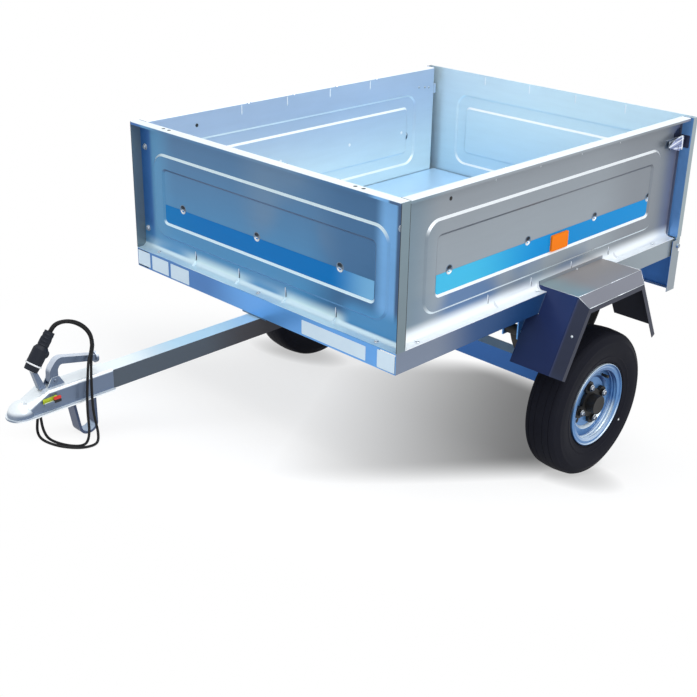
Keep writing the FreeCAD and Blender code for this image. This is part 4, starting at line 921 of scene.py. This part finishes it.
def make_coupling_trim():
    """Wear gauge's caps and lip, the plug's white ring, ribs and boss, and a tie on both cables."""
    for name, low, high, finish in (("gauge_cap_red", (1177, -19.8), (1194, -13.2), GAUGE_RED),
                                    ("gauge_cap_black", (1177, -27), (1194, -20), HUB_BLACK),
                                    ("gauge_lip", (1194, -27), (1217, -21), COUPLING_ZINC)):
        corners = [(x, 33.9, z) for x, z in rounded_corners(low, high, (1.5, 1.5, 1.5, 1.5), 3)]
        new_piece(name, lambda s: slab(s, corners, (0, 1, 0), 3), finish, "chassis", False)

    mouth, up = drawn((0.89917, 0.01, 0.15233)), drawn_way(-0.3435, 0, 0.9392)
    new_piece("plug_ring", lambda s: turned(
        s, [(17.3, 12.8), (18.2, 12.9), (18.2, 16.1), (17.3, 16.2), (17.3, 12.8)], mouth, up),
        WHITE_PLASTIC, "chassis")

    def gland(shape):
        for height in (60, 68, 76, 84):
            turned(shape, [(9.0, -2.6), (11.4, -2.0), (12.0, 0), (11.4, 2.0), (9.0, 2.6)],
                   mouth + up * height, up)
        lean = drawn_way(0.9392, 0, 0.3435)
        turned(shape, [(0, -1), (7.5, -1), (8.5, 0), (8.5, 9), (7.0, 10), (0, 10)],
               mouth + up * 44 - lean * 10, -lean, 24)
    new_piece("plug_gland", gland, PLUG_BLACK, "chassis")

    def tie(shape):
        along, across = Vector((0.628, 0.778, 0)), Vector((0.778, -0.628, 0))
        length, width, around, end_share = 0.0096, 0.0048, 24, 0.55
        middles = [Vector(c) for c in ((0.7606, 0.0200, 0.190), (0.7596, 0.0185, 0.200),
                                       (0.7593, 0.0170, 0.210), (0.7630, 0.0158, 0.2235))]
        rings = []
        for i, middle in enumerate([middles[0]] + middles + [middles[-1]]):
            k = end_share if i in (0, len(middles) + 1) else 1
            rings.append([shape.verts.new(drawn(
                middle + along * length * k * math.cos(a) + across * width * k * math.sin(a)))
                for a in (2 * math.pi * j / around for j in range(around))])
        join_rings(shape, rings)
        shape.faces.new(rings[0])
        shape.faces.new(rings[-1])
    new_piece("cable_tie", tie, CABLE_BLACK, "chassis")


make_stripes()
make_dimples()
make_labels()
make_body_holes()
make_body_bolts()
make_rim_creases()
make_gusset_edges()
make_corner_shade_lines()
make_guard_trim()
make_latch_levers()
make_lamp_lenses()
make_coupling_trim()


# Wheels
def make_tyre(side, label):
    """Ribbed tyre over the plain ring: grooves in the tread and rings on the wall."""
    half = [(101.0, 34.0), (101.2, 38.5), (104.0, 39.4), (113.0, 39.5), (116.2, 39.6),
            (118.0, 42.6), (121.5, 43.6), (123.0, 46.2), (126.0, 46.9), (135.0, 49.4),
            (136.2, 50.5), (138.0, 50.7), (139.2, 50.0), (150.0, 52.8), (160.0, 54.2),
            (168.0, 54.6), (176.0, 53.7), (177.4, 54.1), (179.4, 53.5), (181.0, 52.5),
            (188.0, 49.4), (193.5, 45.8), (195.0, 45.5), (197.0, 43.0), (199.6, 38.6),
            (200.6, 36.4), (201.2, 31.4), (200.0, 31.0), (200.0, 30.0), (201.4, 29.6),
            (202.9, 18.4), (203.0, 13.2), (202.0, 12.9), (202.0, 12.1), (203.2, 11.8), (203.8, 2.0)]
    profile = half + [(r, -a) for r, a in reversed(half)]
    around = 120
    wheel = WHEEL_LEVEL + Vector((0, side * WHEEL_Y * 1000, 0))

    def fill(shape):
        rings = []
        for r, a in profile:
            ring = []
            for i in range(around):
                turn = 2 * math.pi * i / around
                ring.append(shape.verts.new(wheel + Vector(
                    (r * math.cos(turn), a, r * math.sin(turn)))))
            rings.append(ring)
        join_rings(shape, rings)
    piece = new_piece(label + "_tyre_ribbed", fill, BLACK_RUBBER, "wheel_" + label)
    sharpen(piece, 40)
    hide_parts(label + "_tyre")


def make_wheel_trim(side, label):
    """Pressed steps inside the rim, wheel nuts, air valve, and the tyre's balance dot."""
    plane = side * WHEEL_Y * 1000
    out = (0, side, 0)
    body = "wheel_" + label

    def place(radius, degrees, across):
        a = math.radians(degrees)
        return WHEEL_LEVEL + Vector(
            (radius * math.cos(a), plane + side * across, radius * math.sin(a)))

    def steps(shape):
        line = [(114.6, 46.2), (113.4, 46.9), (112.2, 46.6), (111.4, 45.0), (111.0, 43.6),
                (107.0, 43.3), (105.6, 44.3), (104.0, 44.3), (102.6, 43.3), (98.2, 43.2),
                (97.0, 42.4), (97.3, 40.0), (97.2, 36.6), (95.6, 35.2), (95.6, 33.2), (97.2, 31.8),
                (97.2, 28.4), (95.4, 27.0), (95.4, 25.2), (97.4, 23.6)]
        back = [(r + 0.8, a - 0.8) for r, a in reversed(line)]
        turned(shape, line + back + line[:1], WHEEL_LEVEL + Vector((0, plane, 0)), out, 96)
    sharpen(new_piece(label + "_rim_steps", steps, WHEEL_SILVER, body), 50)
    stud_circle, hub_face = 50.8, 32
    nuts = [(place(stud_circle, turn, hub_face), out) for turn in (-16, 74, 164, 254)]
    bolt_row(label + "_wheel_nuts", nuts, 7.5, body, NUT_STEEL)

    def valve(shape):
        turned(shape, [(5.5, 0), (5.5, 2), (4, 5), (3.6, 14), (4.2, 15), (4.2, 24), (3.4, 26),
                       (0, 26)], place(80, 121.6, 18), out, 20)
    new_piece(label + "_valve", valve, BLACK_PLASTIC, body)
    dark_holes(label + "_disc_hole", [(place(62, -44, 16.1), out)], 6.5, body)

    def dot(shape):
        turned(shape, [(3.2, 0), (3.2, 0.5), (2.6, 0.9), (0, 1.0)], place(137.5, 216.5, 50.6), out,
               20)
    new_piece(label + "_balance_dot", dot, WHITE_PLASTIC, body)


for side, label in SIDES:
    make_tyre(side, label)
    make_wheel_trim(side, label)


# Floor, lamps and surroundings
DEEPEST_SHADE = 0.84          # how much darker than white, under the body
TYRE_SHADE = 0.42             # and close to a tyre
SHADE_LIFT = 1.24             # makes the thinnest shade white
GLOW_SHARE = 0.72             # share of the near floor that no cast shadow darkens
NEAR_FLOOR = (0.75, 1.25)     # distance over which the floor begins to glow only
BOUNCE = 0.86                 # what the floor sends back to the trailer


def show_to_eye(tree, plain, shown, end):
    """Camera, glossy and clear rays see one shader, and all other light sees the plain one."""
    seen = put(tree, "LightPath").outputs
    eye = reckon(tree, "MAXIMUM", seen["Is Camera Ray"], seen["Is Glossy Ray"])
    eye = reckon(tree, "MAXIMUM", eye, seen["Is Transmission Ray"])
    pick = tree.nodes.new("ShaderNodeMixShader")
    tree.links.new(eye, pick.inputs[0])
    tree.links.new(plain.outputs[0], pick.inputs[1])
    tree.links.new(shown.outputs[0], pick.inputs[2])
    tree.links.new(pick.outputs[0], tree.nodes[end].inputs["Surface"])


def make_floor():
    """White floor with the soft grey shade of the photograph under the trailer."""
    mesh = bpy.data.meshes.new("floor")
    plate = bmesh.new()
    bmesh.ops.create_grid(plate, x_segments=1, y_segments=1, size=30)
    plate.to_mesh(mesh)
    plate.free()
    floor = bpy.data.objects.new("floor", mesh)
    bpy.context.scene.collection.objects.link(floor)
    material, tree, shader = blank_material("floor_white", roughness=1.0)
    shader.inputs["Base Color"].default_value = (BOUNCE, BOUNCE, BOUNCE, 1)
    shader.inputs["Specular IOR Level"].default_value = 0.0
    where = put(tree, "TexCoord").outputs["Object"]

    def along(*way):
        return put(tree, "VectorMath", {0: where, 1: way}, operation="DOT_PRODUCT").outputs["Value"]
    across_view, into_view = along(-0.588, 0.809, 0), along(0.1395, 0.990, 0)

    # The floor's grey shade is painted, under the body and close to each tyre
    # Each edge of the shade: across which direction, where it starts and where it is full
    shade = DEEPEST_SHADE
    for value, low, high in ((across_view, -0.34, 0.72), (across_view, 0.90, 0.72),
                             (into_view, 0.58, 0.35), (into_view, -0.70, -0.36),
                             (along(1, 0, 0), -1.55, -1.1)):
        shade = reckon(tree, "MULTIPLY", shade, ramp(tree, value, low, high))

    # The shade close to each tyre
    for y in (-WHEEL_Y, WHEEL_Y):
        foot = put(tree, "VectorMath", {0: where, 1: (WHEEL_PARKED.x, y, 0)}, operation="DISTANCE")
        under = reckon(tree, "MULTIPLY", ramp(tree, foot.outputs["Value"], 0.27, 0.06),
                       TYRE_SHADE)
        shade = reckon(tree, "MAXIMUM", shade, under)

    # Near the trailer the floor also takes cast shadows, and far from it only glows
    tone = reckon(tree, "MULTIPLY", reckon(tree, "SUBTRACT", 1.0, shade), SHADE_LIFT)
    tone = reckon(tree, "MINIMUM", tone, 1.0)
    grey = put(tree, "CombineColor", {"Red": tone, "Green": tone, "Blue": tone}).outputs["Color"]
    near = put(tree, "VectorMath", {0: where, 1: (-0.25, 0.0, 0.0)}, operation="DISTANCE")
    lit = put(tree, "BsdfDiffuse", {"Color": grey})
    glow = put(tree, "Emission", {"Color": grey, "Strength": 1.0})
    shown = tree.nodes.new("ShaderNodeMixShader")
    tree.links.new(ramp(tree, near.outputs["Value"], *NEAR_FLOOR), shown.inputs[0])
    soft = tree.nodes.new("ShaderNodeMixShader")
    soft.inputs[0].default_value = GLOW_SHARE
    tree.links.new(lit.outputs[0], soft.inputs[1])
    tree.links.new(glow.outputs[0], soft.inputs[2])
    tree.links.new(soft.outputs[0], shown.inputs[1])
    tree.links.new(glow.outputs[0], shown.inputs[2])
    show_to_eye(tree, shader, shown, "Material Output")
    mesh.materials.append(material)


def make_surroundings():
    """White background that lights the trailer from all round, and two broad lamps."""
    world = bpy.data.worlds.new("studio")
    world.use_nodes = True
    bpy.context.scene.world = world
    tree = world.node_tree
    light = tree.nodes["Background"]
    light.inputs["Color"].default_value = (0.95, 0.97, 1.0, 1)
    light.inputs["Strength"].default_value = 0.72
    white = put(tree, "Background", {"Color": (1, 1, 1, 1), "Strength": 1.0})
    show_to_eye(tree, light, white, "World Output")
    for label, place, size, power in (("top_lamp", (0.9, 0.7, 3.9), 3.2, 85),
                                      ("side_lamp", (1.2, 3.8, 2.6), 2.4, 45)):
        data = bpy.data.lights.new(label, "AREA")
        data.size = size
        data.energy = power
        lamp = bpy.data.objects.new(label, data)
        lamp.location = place
        aim = Vector((0, 0, 0.4)) - Vector(place)
        lamp.rotation_euler = aim.to_track_quat("-Z", "Y").to_euler()
        bpy.context.scene.collection.objects.link(lamp)


make_floor()
make_surroundings()
bpy.context.scene.view_settings.view_transform = "Standard"
